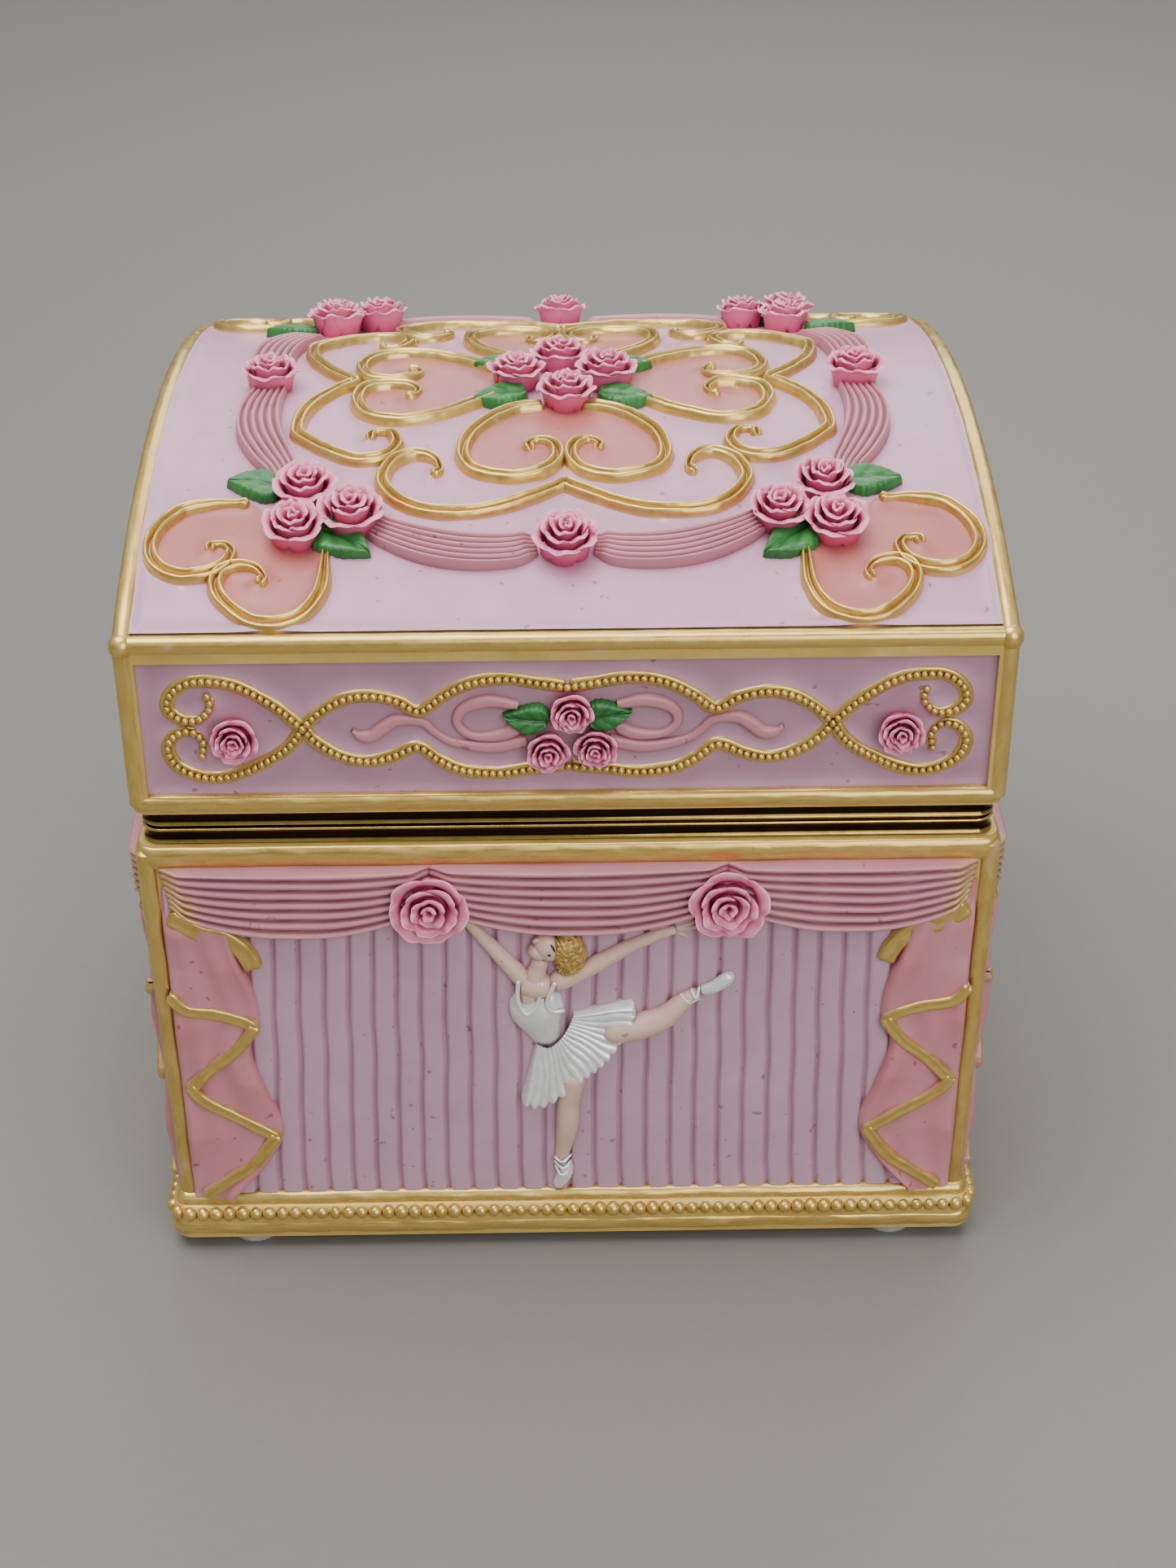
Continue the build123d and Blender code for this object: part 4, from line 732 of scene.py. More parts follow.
def bar(cast, points, half_a, half_b, up, seed):
    """Rounded cast bar along a path in space, `up` fixing its section."""
    path = smooth_path(points, BAR_STEP) if len(points) > 2 else np.linspace(
        points[0], points[1], max(3, int(np.linalg.norm(np.subtract(points[1], points[0])) / BAR_STEP)))
    tangent = np.gradient(path, axis=0)
    tangent /= np.linalg.norm(tangent, axis=1)[:, None]
    side = np.cross(tangent, np.asarray(up, float))
    side /= np.linalg.norm(side, axis=1)[:, None]
    top = np.cross(side, tangent)
    steps = np.linalg.norm(np.diff(path, axis=0), axis=1)
    along = np.concatenate([[0], np.cumsum(steps)])
    angle = np.linspace(0, 2 * np.pi, 22, endpoint=False)
    cos, sin = np.cos(angle), np.sin(angle)
    section_a = np.sign(cos) * np.abs(cos) ** (2 / BAR_SQUARENESS)
    section_b = np.sign(sin) * np.abs(sin) ** (2 / BAR_SQUARENESS)
    swell = 1 + BAR_WEAR * wobble2(along[:, None], 4 * angle[None, :] / np.pi, seed, 0.42)
    x = half_a * section_a[None, :] * swell
    y = half_b * section_b[None, :] * swell
    points3 = path[:, None] + side[:, None] * x[..., None] + top[:, None] * y[..., None]
    brush = np.stack(np.broadcast_arrays(along[:, None] * 0.16, angle[None, :] * 0.40, float(seed)), axis=-1)
    gold = 1 - 0.6 * smooth(0.60, 0.95, wobble2(along[:, None], 3 * angle[None, :], seed + 7, 0.5))
    cast.patch(points3, flat(LILAC, x.shape), gold, brush, loop_v=True)
    for index in (0, -1):
        out = tangent[index] * (-1 if index == 0 else 1)
        rings = np.stack([points3[index],
            path[index] + (points3[index] - path[index]) * 0.55 + out * 0.35 * half_a,
                          np.broadcast_to(path[index] + out * 0.42 * half_a, points3[index].shape)])
        cast.patch(rings, flat(GOLD_PAINT, rings.shape[:2]), 1.0, rings * 0.2, loop_v=True, turn=index == 0)


def knob(cast, centre, radius, seed):
    fine = unit_bead(14, 20)
    points = np.asarray(centre, float) + fine * radius * np.array([1.0, 1.0, 1.05])
    cast.patch(points, flat(GOLD_PAINT, points.shape[:2]), 1.0, fine * 0.8 + seed, loop_v=True)


def around(half_x, half_y, corner, step=1.2):
    """Points and outward normals round a rounded rectangle, anticlockwise from the front."""
    points, normals = [], []
    centres = ((1, -1), (1, 1), (-1, 1), (-1, -1))
    for index, (sx, sy) in enumerate(centres):
        centre = np.array([sx * (half_x - corner), sy * (half_y - corner)])
        angle = np.radians(np.linspace(90 * index - 90, 90 * index, 9))
        normal = np.stack([np.cos(angle), np.sin(angle)], axis=1)
        points.append(centre + corner * normal)
        normals.append(normal)
        tx, ty = centres[(index + 1) % 4]
        following = np.array([tx * (half_x - corner), ty * (half_y - corner)]) + corner * normal[-1]
        count = int(np.linalg.norm(following - points[-1][-1]) / step)
        share = np.linspace(0, 1, count + 1)[1:-1, None]
        points.append(points[-1][-1] * (1 - share) + following * share)
        normals.append(np.broadcast_to(normal[-1], (len(share), 2)))
    return np.vstack(points), np.vstack(normals)


def skirt(cast, profile, half_x, half_y, corner, seed, paint=GOLD_PAINT, wear=0.12):
    """Moulding round the box: profile points are (out, z), from the bottom up."""
    path, normal = around(half_x, half_y, corner)
    fine = smooth_path(profile, 0.35)
    steps = np.linalg.norm(np.diff(path, axis=0), axis=1)
    along = np.concatenate([[0], np.cumsum(steps)])[:, None]
    out = fine[None, :, 0] + wear * wobble2(along, 3 * fine[None, :, 1], seed, 0.35)
    points = np.empty((*out.shape, 3))
    points[..., :2] = path[:, None] + normal[:, None] * out[..., None]
    points[..., 2] = fine[None, :, 1] + 0.5 * wear * wobble(along, seed + 3, 0.3)
    brush = np.stack(np.broadcast_arrays(along * 0.16, fine[None, :, 1] * 0.45, float(seed)), axis=-1)
    paint = np.broadcast_to(paint, (*out.shape, 3))
    cast.patch(points, paint, 1.0, brush, loop_u=True)


def rose_on(cast, surface, a, b, radius, height, seed, base=0.0):
    """Rose standing on a surface."""
    a, b, h = (np.array([value]) for value in (a, b, base))
    origin = surface(a, b, h)[0]
    across = surface(a + 0.5, b, h)[0] - origin
    across = across / np.linalg.norm(across)
    up = surface(a, b + 0.5, h)[0] - origin
    out = np.cross(across, up)
    out = out / np.linalg.norm(out)
    rose(cast, origin, across, np.cross(out, across), out, radius, height, seed)


def limb(cast, place, stations, paint, seed=0, flatten=1.0, sides=22):
    """Rounded limb through (a, b, h, radius) stations, `flatten` squeezing it along h."""
    path = smooth_path(stations, 0.35)
    centre, radius = path[:, :3], path[:, 3]
    tangent = np.gradient(centre, axis=0)
    tangent /= np.linalg.norm(tangent, axis=1)[:, None] + 1e-9
    steps = np.linalg.norm(np.diff(centre, axis=0), axis=1)
    along = np.concatenate([[0], np.cumsum(steps)])
    for gap, end in ((along, radius[0]), (along[-1] - along, radius[-1])):
        radius = radius * np.sqrt(np.clip(1 - (1 - np.clip(gap / end, 0, 1)) ** 2, 0.0004, 1))
    side = np.cross(tangent, np.array([0.0, 0.0, 1.0]))
    side /= np.linalg.norm(side, axis=1)[:, None] + 1e-9
    top = np.cross(side, tangent)
    angle = np.linspace(0, 2 * np.pi, sides, endpoint=False)
    x = radius[:, None] * np.cos(angle)[None, :]
    y = radius[:, None] * np.sin(angle)[None, :] * flatten
    points = centre[:, None] + side[:, None] * x[..., None] + top[:, None] * y[..., None]
    brush = np.stack(np.broadcast_arrays(along[:, None], angle[None, :], float(seed)), axis=-1)
    shade = flat(paint, x.shape) * (0.97 + 0.05 * wobble2(along[:, None], angle[None, :], seed))[..., None]
    cast.patch(place(points[..., 0], points[..., 1], points[..., 2]), shade, 0.0, brush, loop_v=True)


def blob(cast, place, centre, size, turn, paint, seed, lumps=0.0, pitch=2.2, hollow_shade=None, gold=0.0, rows=26,
        cols=40):
    """Egg-shaped lump turned in the surface's plane; `lumps` gives it curls."""
    polar = np.linspace(0.02, np.pi - 0.02, rows)[:, None]
    angle = np.linspace(0, 2 * np.pi, cols, endpoint=False)[None, :]
    u = np.cos(polar) + 0 * angle
    v = np.sin(polar) * np.cos(angle)
    w = np.sin(polar) * np.sin(angle)
    first = pitch * 3 * (u * size[0] + 0.5 * np.sin(2.6 * v * size[1] + seed) + 0.6 * w)
    second = pitch * 2.4 * (v * size[1] + 0.6 * np.sin(2.1 * u * size[0] + 2 * seed) - 0.4 * w)
    wave = np.sin(first + seed) * np.sin(second) + 0.4 * np.sin(1.7 * first - second)
    grow = 1 + lumps * wave
    cos, sin = math.cos(math.radians(turn)), math.sin(math.radians(turn))
    x, y = u * size[0] * grow, v * size[1] * grow
    a = centre[0] + x * cos - y * sin
    b = centre[1] + x * sin + y * cos
    # Painted shade: when a darker colour is given, the hollows between the curls take it.
    shade = mix(flat(paint if hollow_shade is None else hollow_shade, a.shape), flat(paint, a.shape), smooth(-0.6, 0.3, wave))
    brush = np.stack(np.broadcast_arrays(u * 3, v * 3, w * 3), axis=-1)
    cast.patch(place(a, b, centre[2] + w * size[2] * grow), shade, gold, brush, loop_v=True)


# --- lid top -----------------------------------------------------------------------------
BAND_HALF = 1.36
BAND_RISE = 1.95
TOP_ROSE_RADIUS = 5.75
TOP_ROSE_HEIGHT = 6.2
HEART_LOBE_SIDE = (
    (54.2, 42.0), (60.9, 42.3), (66.0, 43.8), (69.6, 48.4), (70.6, 53.1), (69.0, 57.0), (65.1, 59.3),
    (60.9, 59.0), (57.7, 57.2), (56.6, 54.4), (57.8, 52.4), (60.0, 52.4), (60.6, 53.8),
)
HEART_LOBE_FRONT = (
    (40.9, 51.0), (40.7, 56.1), (41.0, 62.5), (43.4, 67.2), (47.8, 69.4), (52.6, 68.8), (56.9, 65.3),
    (58.8, 61.6), (58.1, 58.5), (55.5, 57.2), (52.2, 57.9), (50.8, 60.0), (51.8, 61.6),
)
HEART_FRONT = (
    (3.4, 11.0), (9.8, 13.2), (16.1, 20.4), (18.0, 28.1), (15.9, 33.1), (9.6, 35.2), (4.0, 33.8),
    (1.3, 29.9), (1.8, 25.6), (4.4, 24.0), (6.4, 25.4), (5.6, 27.2),
)
HEART_SIDE = (
    (12.6, 6.2), (20.0, 12.5), (28.4, 16.2), (35.0, 14.6), (37.7, 8.9), (36.7, 3.4), (32.6, 1.3),
    (28.8, 1.9), (26.8, 4.0), (27.6, 6.2), (29.4, 6.2),
)
BRANCH_SIDE = (
    (38.2, -0.5), (43.1, 5.0), (46.9, 12.0), (48.0, 19.8), (46.0, 23.2), (41.1, 27.6), (36.4, 29.8),
    (31.9, 28.8), (29.7, 25.0), (31.2, 21.0), (34.1, 20.8), (34.9, 22.8),
)
BRANCH_FRONT = (
    (-0.6, 37.2), (6.8, 41.6), (14.0, 44.5), (22.3, 44.8), (27.9, 42.6), (31.2, 38.5), (31.9, 34.8),
    (29.9, 30.1), (26.2, 28.1), (22.8, 30.0), (21.9, 33.2), (23.6, 34.4),
)
HEART_OUTLINES = (
    HEART_LOBE_SIDE[:8] + HEART_LOBE_FRONT[7::-1],
    HEART_FRONT[:8] + tuple((-a, b) for a, b in HEART_FRONT[7::-1]),
    HEART_SIDE[:7] + tuple((a, -b) for a, b in HEART_SIDE[6::-1]),
)
SWAG_FRONT = (
    ((34.6, 44.0), (27.8, 47.8), (19.4, 50.2), (11.2, 50.8), (5.2, 50.0)),
    ((35.2, 49.2), (31.4, 52.9), (24.7, 56.6), (16.6, 58.2), (8.4, 57.6), (4.4, 54.8)),
)
SWAG_SIDE = (
    ((51.0, 0.8), (51.3, 11.0), (50.3, 19.7), (48.4, 26.6), (46.4, 32.4)),
    ((57.2, 0.8), (59.4, 10.8), (59.0, 20.7), (56.0, 28.6), (51.2, 35.0)),
)
CORNER_ROSES = ((45.0, 40.0), (46.2, 50.0), (36.8, 46.8))
MIDDLE_ROSES = ((0.5, -9.0), (-8.6, 0.0), (8.2, 0.0), (-0.5, 9.0))
EDGE_ROSES = ((54.5, 0.0), (-54.5, 0.0), (0.0, 53.5), (0.0, -53.5))
QUARTERS = ((1, 1), (1, -1), (-1, 1), (-1, -1))
TOP_SCROLLS = (HEART_LOBE_SIDE, HEART_LOBE_FRONT, HEART_FRONT, HEART_SIDE, BRANCH_SIDE, BRANCH_FRONT)


def quarter(points, sx, sy):
    return [(sx * a, sy * b) for a, b in points]


def lid_top_scrolls(cast):
    paths = []
    for q, (sx, sy) in enumerate(QUARTERS):
        for k, points in enumerate(TOP_SCROLLS):
            flip = (sx * sy > 0) != (k in (1, 2, 5))
            ends = ("start", "end") if k < 2 else ("end",)
            seed = 10 * q + k
            paths.append(scroll(cast, on_lid_top, quarter(points, sx, sy), BAND_HALF, BAND_RISE, DOUBLE_RIDGE,
                                LILAC, seed, ends, flip))
    return np.vstack(paths)


def lid_top_field(cast, paths):
    """Painted ground: lilac outside, pink inside the hearts, drawn up softly at every band."""
    a, b = grid(-HALF_W + 2.2, HALF_W - 2.2, 0.5, -HALF_D + 2.2, HALF_D - 2.2, 0.5)
    gap = distance_to(a, b, paths[::2])
    lift = 0.10 + 0.62 * np.exp(-((gap / 1.75) ** 2)) + 0.05 * wobble2(a, b, 3, 0.35)
    edge = np.minimum(HALF_W - np.abs(a), HALF_D - np.abs(b)) - 3.2
    lift += 0.7 * np.exp(-np.clip(edge, 0, 9) / 0.8)
    heart = np.zeros(a.shape, bool)
    for sx, sy in QUARTERS:
        for outline in HEART_OUTLINES:
            heart |= inside(a, b, np.array(quarter(outline, sx, sy)))
    lift = lift + 0.25 * heart
    colour = np.where(heart[..., None], np.array(HEART_PINK), np.array(LILAC))
    colour = colour * (1 + 0.05 * wobble2(a, b, 8, 0.2))[..., None]
    smear = smooth(0.55, 0.95, wobble2(a, b, 21, 0.9)) * smooth(2.6, 1.2, gap)
    brush = np.stack([a * 0.3, b * 0.3, 0 * a], axis=-1)
    lay(cast, on_lid_top, a, b, lift, colour, 0.75 * smear, brush)


def lid_top_drapes(cast):
    for q, (sx, sy) in enumerate(QUARTERS):
        for k, (inner, outer) in enumerate((SWAG_FRONT, SWAG_SIDE)):
            swag(cast, on_lid_top, quarter(inner, sx, sy), quarter(outer, sx, sy), 6, 1.9, 3 * q + k)


def lid_top_roses(cast):
    spots = list(MIDDLE_ROSES) + list(EDGE_ROSES)
    for sx, sy in QUARTERS:
        spots += quarter(CORNER_ROSES, sx, sy)
    for seed, (a, b) in enumerate(spots):
        big = 1.02 + 0.05 * math.sin(3.7 * seed)
        rose_on(cast, on_lid_top, a, b, TOP_ROSE_RADIUS * big, TOP_ROSE_HEIGHT * big, seed + 1)


def mirrored_leaf(cast, surface, stem, sx, sy, length, height, seed):
    """Leaf given by (a, b, turn) in the first quarter, reflected into another."""
    a, b, turn = stem
    turn = (turn if sx > 0 else 180 - turn) * sy
    leaf(cast, surface, sx * a, sy * b, turn, length, height, seed)


def lid_top_leaves(cast):
    for q, (sx, sy) in enumerate(QUARTERS):
        mirrored_leaf(cast, on_lid_top, (48.8, 38.4, -8), sx, sy, 10.5, 2.6, q)
        mirrored_leaf(cast, on_lid_top, (44.0, 49.0, 152), sx, sy, 12.5, 2.4, q + 4)
        mirrored_leaf(cast, on_lid_top, (6.2, 6.6, 10), sx, sy, 11.0, 2.8, q + 8)


# --- lid frame and side bands ------------------------------------------------------------
RIM_HALF = 1.75
RIM_DROP = 0.3
POST_HALF = 1.75
LID_RIM = ((-2.6, 0.0), (-0.6, 0.05), (0.15, 0.5), (0.45, 1.3), (0.45, 2.1), (0.1, 2.9), (-0.7, 3.4),
    (-1.75, 3.5))
ROPE_HALF = 1.22
ROPE_RISE = 1.3
ROPE_BEAD = 0.72
ROPE_PITCH = 1.28
HEART_UPPER = (
    (-44.7, 16.2), (-49.0, 20.4), (-54.1, 23.8), (-58.3, 25.2), (-63.1, 25.2), (-66.2, 23.1), (-67.0, 20.2),
    (-64.9, 18.2), (-61.9, 18.2), (-59.9, 20.4), (-60.2, 22.6),
)
HEART_LOWER = (
    (-44.7, 16.2), (-47.4, 12.5), (-52.0, 9.4), (-57.6, 7.0), (-62.0, 6.9), (-66.2, 9.0), (-67.6, 12.6),
    (-66.0, 15.3), (-63.4, 15.9), (-61.6, 14.0), (-61.9, 11.2),
)
MIDDLE_UPPER = (
    (-44.7, 16.2), (-41.6, 19.3), (-37.1, 21.8), (-32.8, 22.2), (-28.6, 21.2), (-24.9, 19.2), (-21.0, 22.0),
    (-16.1, 24.5), (-10.2, 25.2), (-4.9, 24.4), (0.0, 23.6),
)
MIDDLE_LOWER = (
    (-44.7, 16.2), (-42.5, 13.4), (-38.3, 10.6), (-34.0, 9.6), (-30.1, 10.4), (-25.4, 12.3), (-22.0, 9.8),
    (-17.7, 7.6), (-11.7, 7.0), (-6.2, 7.8), (0.0, 8.4),
)
RIBBON_TAIL = (
    (-36.4, 15.6), (-35.0, 14.4), (-33.0, 14.4), (-31.0, 16.0), (-28.6, 17.4), (-24.6, 17.0), (-22.6, 15.0),
    (-19.4, 12.9), (-13.0, 11.9), (-7.0, 13.2),
)
RIBBON_LOOP = (
    (-7.5, 16.6), (-11.0, 14.4), (-16.0, 14.2), (-18.6, 16.6), (-17.4, 19.4), (-13.2, 20.8), (-8.4, 20.0),
)
SIDE_SCROLLS = (HEART_UPPER, HEART_LOWER, MIDDLE_UPPER, MIDDLE_LOWER)
BAND_ROSES = ((-56.2, 15.1), (0.6, 19.4), (-3.4, 12.0), (4.6, 12.6), (56.2, 15.1))


def lid_side_field(cast, place, paths, seed):
    a, b = grid(-HALF_W + 3.0, HALF_W - 3.0, 0.6, 3.2, LID_EDGE - LID_BOTTOM - 2.2, 0.6)
    gap = distance_to(a, b, paths[::3])
    frame_gap = np.minimum(HALF_W - 3.4 - np.abs(a), np.minimum(b - 3.8, 29.2 - b))
    lift = 0.06 + 0.75 * np.exp(-((gap / 1.9) ** 2)) + 0.5 * np.exp(-np.clip(frame_gap, 0, 9) / 0.7)
    lift += 0.05 * wobble2(a, b, seed, 0.3)
    halo = np.clip(np.exp(-((gap / 2.3) ** 2)) + 0.8 * np.exp(-np.clip(frame_gap, 0, 9) / 0.9), 0, 1)
    colour = mix(flat(MAUVE, a.shape), flat(LILAC, a.shape), 0.85 * halo)
    lay(cast, place, a, b, lift, colour)


def rope(cast, beads, place, points, seed, curl=()):
    """Gold bed with a row of small beads on it."""
    path = scroll(cast, place, points, ROPE_HALF, ROPE_RISE, ROPE_BED, LILAC, seed, curl)
    for k, (a, b) in enumerate(smooth_path(points, ROPE_PITCH)):
        centre = place(np.array([a]), np.array([b]), np.array([ROPE_RISE * 0.86]))[0]
        bead(beads, centre, ROPE_BEAD, seed * 31 + k)
    return path


def lid_sides(bands, beads, flowers):
    for face, place in enumerate(LID_FACES):
        paths = []
        for sx in (1, -1):
            for k, points in enumerate(SIDE_SCROLLS):
                ends = ("end",) if k < 2 else ()
                paths.append(rope(bands, beads, place, quarter(points, sx, 1), 20 * face + 4 * sx + k, ends))
            for k, points in enumerate((RIBBON_TAIL, RIBBON_LOOP)):
                ribbon(flowers, place, quarter(points, sx, 1), face + k)
        lid_side_field(bands, place, np.vstack(paths), face)
        for k, (a, b) in enumerate(BAND_ROSES):
            rose_on(flowers, place, a, b, 4.3 if k in (0, 4) else 3.9, 4.6, 40 + 5 * face + k)
        for sx in (1, -1):
            mirrored_leaf(flowers, place, (3.2, 16.6, 18), sx, 1, 8.0, 2.2, face + sx)


def ribbon(cast, place, points, seed):
    """Flat pink ribbon with a rolled edge."""
    path = smooth_path(points, 0.4)
    along, _, normal = path_frame(path)
    share = along / along[-1]
    width = 1.45 * (0.80 + 0.20 * np.sin(share * 9 + seed)) * (0.35 + 0.65 * smooth(0, 0.08, share))
    u = np.linspace(-1, 1, 11)
    lift = 1.35 * (1 - np.abs(u) ** 4) * (0.85 + 0.15 * np.sin(8 * share + seed))[:, None] + 0.25 * u[None,
        :] ** 3 - 0.1
    lift = np.where(np.abs(u) > 0.99, -0.3, lift)
    a = path[:, 0, None] + normal[:, 0, None] * u * width[:, None]
    b = path[:, 1, None] + normal[:, 1, None] * u * width[:, None]
    # Painted shade: darker where the ribbon dips towards its edges.
    colour = mix(flat(SWAG_PAINTED_SHADE, a.shape), flat(SWAG_PINK, a.shape), smooth(-0.1, 0.8, lift))
    lay(cast, place, a, b, lift, colour)


def dome_z(y):
    return CREST - DOME_RADIUS + math.sqrt(DOME_RADIUS**2 - y**2)


def lid_frame(cast):
    """Raised gold frame: bottom moulding, corner posts, straight front rims and arched side rims."""
    skirt(cast, [(out, LID_BOTTOM + z) for out, z in LID_RIM], HALF_W, HALF_D, 3.0, 1)
    x, y = HALF_W - 1.45, HALF_D - 1.45
    for sy in (1, -1):
        z = LID_EDGE - RIM_DROP
        bar(cast, [(-x, sy * y, z), (x, sy * y, z)], RIM_HALF, RIM_HALF, (0, 0, 1), 5 + sy)
    for sx in (1, -1):
        arch = [(sx * x, v, dome_z(v) - 0.5) for v in np.linspace(-y, y, 15)]
        bar(cast, arch, RIM_HALF, RIM_HALF, (0, 0, 1), 8 + sx)
        bar(cast, [(sx * x, -y, LID_EDGE - 1.4), (sx * x, y, LID_EDGE - 1.4)], POST_HALF, 1.6, (0, 0, 1),
            11 + sx)
        for sy in (1, -1):
            bar(cast, [(sx * x, sy * y, LID_BOTTOM + 1.5), (sx * x, sy * y, LID_EDGE)], POST_HALF, POST_HALF,
                (sx, 0, 0), 14 + sx + 2 * sy)
            knob(cast, (sx * (x + 0.1), sy * (y + 0.1), LID_EDGE - 0.4), 2.2, sx + sy)


def lid_lunettes(cast):
    """Painted panels between the straight bar and the arch on the two sides."""
    for sx in (1, -1):
        y, share = grid(-HALF_D + 2.5, HALF_D - 2.5, 0.9, 0, 1, 0.08)
        top = CREST - DOME_RADIUS + np.sqrt(DOME_RADIUS**2 - y**2) - 1.2
        z = LID_EDGE + (top - LID_EDGE) * share
        x = HALF_W + 0.12 + 0.05 * wobble2(y, z, 4, 0.3)
        points = np.stack([sx * x, y, z], axis=-1)
        cast.patch(points, flat(MAUVE, y.shape), 0.0, None, turn=sx < 0)


BEZEL_PROFILE = (
    (-2.4, 0.02), (-0.3, 0.04), (0.45, 0.08), (0.66, 0.30), (0.48, 0.55), (0.22, 0.80), (0.14, 1.55),
    (0.22, 2.35),
    (0.48, 2.58), (0.66, 2.82), (0.45, 3.04), (-0.3, 3.10), (-2.4, 3.13),
)
BEZEL_CHANNEL = (0.62, 2.48)


def bezel_band(name, node, body):
    """Polished rolled edge of one hinge bezel, its channel painted near-black as a painted reflection of the
    dark surroundings.
    """
    cast = Cast()
    low, high = box_mm(node)
    z = smooth_path(BEZEL_PROFILE, 0.35)[:, 1]
    channel = smooth(BEZEL_CHANNEL[0] - 0.2, BEZEL_CHANNEL[0] + 0.1, z) * smooth(BEZEL_CHANNEL[1] + 0.2,
        BEZEL_CHANNEL[1] - 0.1, z)
    # Painted reflection: the polished channel is painted near-black where it would mirror the dark
    # surroundings.
    tone = mix(flat((1.0, 1.0, 1.0), z.shape), flat((0.035, 0.026, 0.018), z.shape), channel)
    skirt(cast, [(out, low[2] + up) for out, up in BEZEL_PROFILE], high[0], high[1], 3.0, 31, paint=tone,
        wear=0.015)
    cast.piece(name, BEZEL_GOLD, body, "gold_metal")


# --- case faces --------------------------------------------------------------------------
PLEAT_PITCH = 4.6
PLEAT_RISE = 0.95
VALANCE_ROSES = (-24.5, 27.8)
VALANCE_ROSE_UP = 67.2
VALANCE_ROSE_RADIUS = 7.4
VALANCE_ROSE_HEIGHT = 4.8
CASE_RIM = ((-1.7, -4.95), (-0.6, -4.9), (0.15, -4.3), (0.45, -3.2), (0.5, -2.0), (0.2, -0.9), (-0.5, -0.2),
    (-2.6, 0.05))
PLINTH_PROFILE = (
    (-2.2, 0.0), (-0.6, 0.25), (0.1, 1.0), (0.30, 2.0), (0.15, 3.0), (-0.45, 3.7), (-1.30, 4.2), (-1.60, 5.5),
    (-1.45, 6.7), (-1.05, 7.3), (-1.15, 8.2), (-2.0, 9.1), (-3.6, 9.6),
)
PLINTH_BEAD = 1.38
PLINTH_BEAD_PITCH = 2.5
PLINTH_BEAD_Z = 5.5


def pleats(cast, place, seed):
    """Back curtain: flat-topped pleats with narrow grooves between them."""
    a, b = grid(-HALF_W + 4.0, HALF_W - 4.0, 0.3, 0.0, 70.0, 1.8)
    phase = a / PLEAT_PITCH + 0.10 * wobble(b, seed, 0.12) + 0.12 * wobble(a, seed + 5,
        0.08) + 0.0016 * a * b / 10
    across = 2 * np.abs(phase - np.floor(phase) - 0.5)
    lift = PLEAT_RISE * (1 - smooth(0.66, 1.0, across) ** 1.1) + 0.14 * (1 - across**2) + 0.1
    lift += 0.06 * wobble2(a, b, seed + 2, 0.4)
    # Painted shade: the narrow grooves between the pleats are darkened.
    colour = mix(flat(CURTAIN_MAUVE, a.shape), flat(np.array(CURTAIN_MAUVE) * 0.86, a.shape),
        smooth(0.86, 1.0, across))
    lay(cast, place, a, b, lift, colour)


def valance(cast, place, seed):
    """Three ribbed swags hung from the top rail."""
    stops = (-71.2, *VALANCE_ROSES, 71.2)
    for k, (left, right) in enumerate(zip(stops, stops[1:])):
        span = right - left
        start, end = (65.6 if k == 0 else 65.4), (65.6 if k == 2 else 65.4)
        inner = [(left - 0.8, 74.4), (left + 0.25 * span, 74.4), (left + 0.5 * span, 74.4),
                 (left + 0.75 * span, 74.4), (right + 0.8, 74.4)]
        outer = [(left + 0.5, start), (left + 0.16 * span, 62.2), (left + 0.34 * span, 60.1),
            (left + 0.5 * span, 59.7),
                 (left + 0.66 * span, 60.1), (left + 0.84 * span, 62.2), (right - 0.5, end)]
        gilt = {0: 0.0, 2: 1.0}.get(k)
        swag(cast, place, inner, outer, 7, 2.7, 7 * seed + k, base=0.6, gilt=gilt)


CASCADE_LEFT = ((-72.0, 69.5), (-72.0, 52.0), (-72.0, 40.0), (-72.0, 20.0), (-71.8, -0.2))
CASCADE_RIGHT = (
    (-61.5, 68.5), (-59.2, 56.5), (-56.4, 47.0), (-55.8, 40.0), (-58.0, 34.0), (-55.4, 24.0), (-53.0, 15.0),
    (-57.0, 7.0), (-62.4, 1.0), (-63.0, -0.2),
)
CASCADE_TRIM = (
    ((-71.9, 47.4), (-69.0, 44.2), (-64.0, 43.2), (-59.6, 41.8), (-56.6, 39.8)),
    ((-56.8, 40.6), (-60.4, 35.4), (-65.2, 31.2), (-70.2, 25.6)),
    ((-70.2, 27.2), (-67.6, 23.6), (-61.6, 19.4), (-54.4, 14.4)),
    ((-54.6, 15.4), (-59.2, 8.6), (-64.2, 4.6), (-69.4, 0.6)),
)
TIE_TRIM = ((-70.4, 64.4), (-65.8, 61.2), (-61.0, 59.6), (-57.8, 56.4), (-56.2, 52.4))


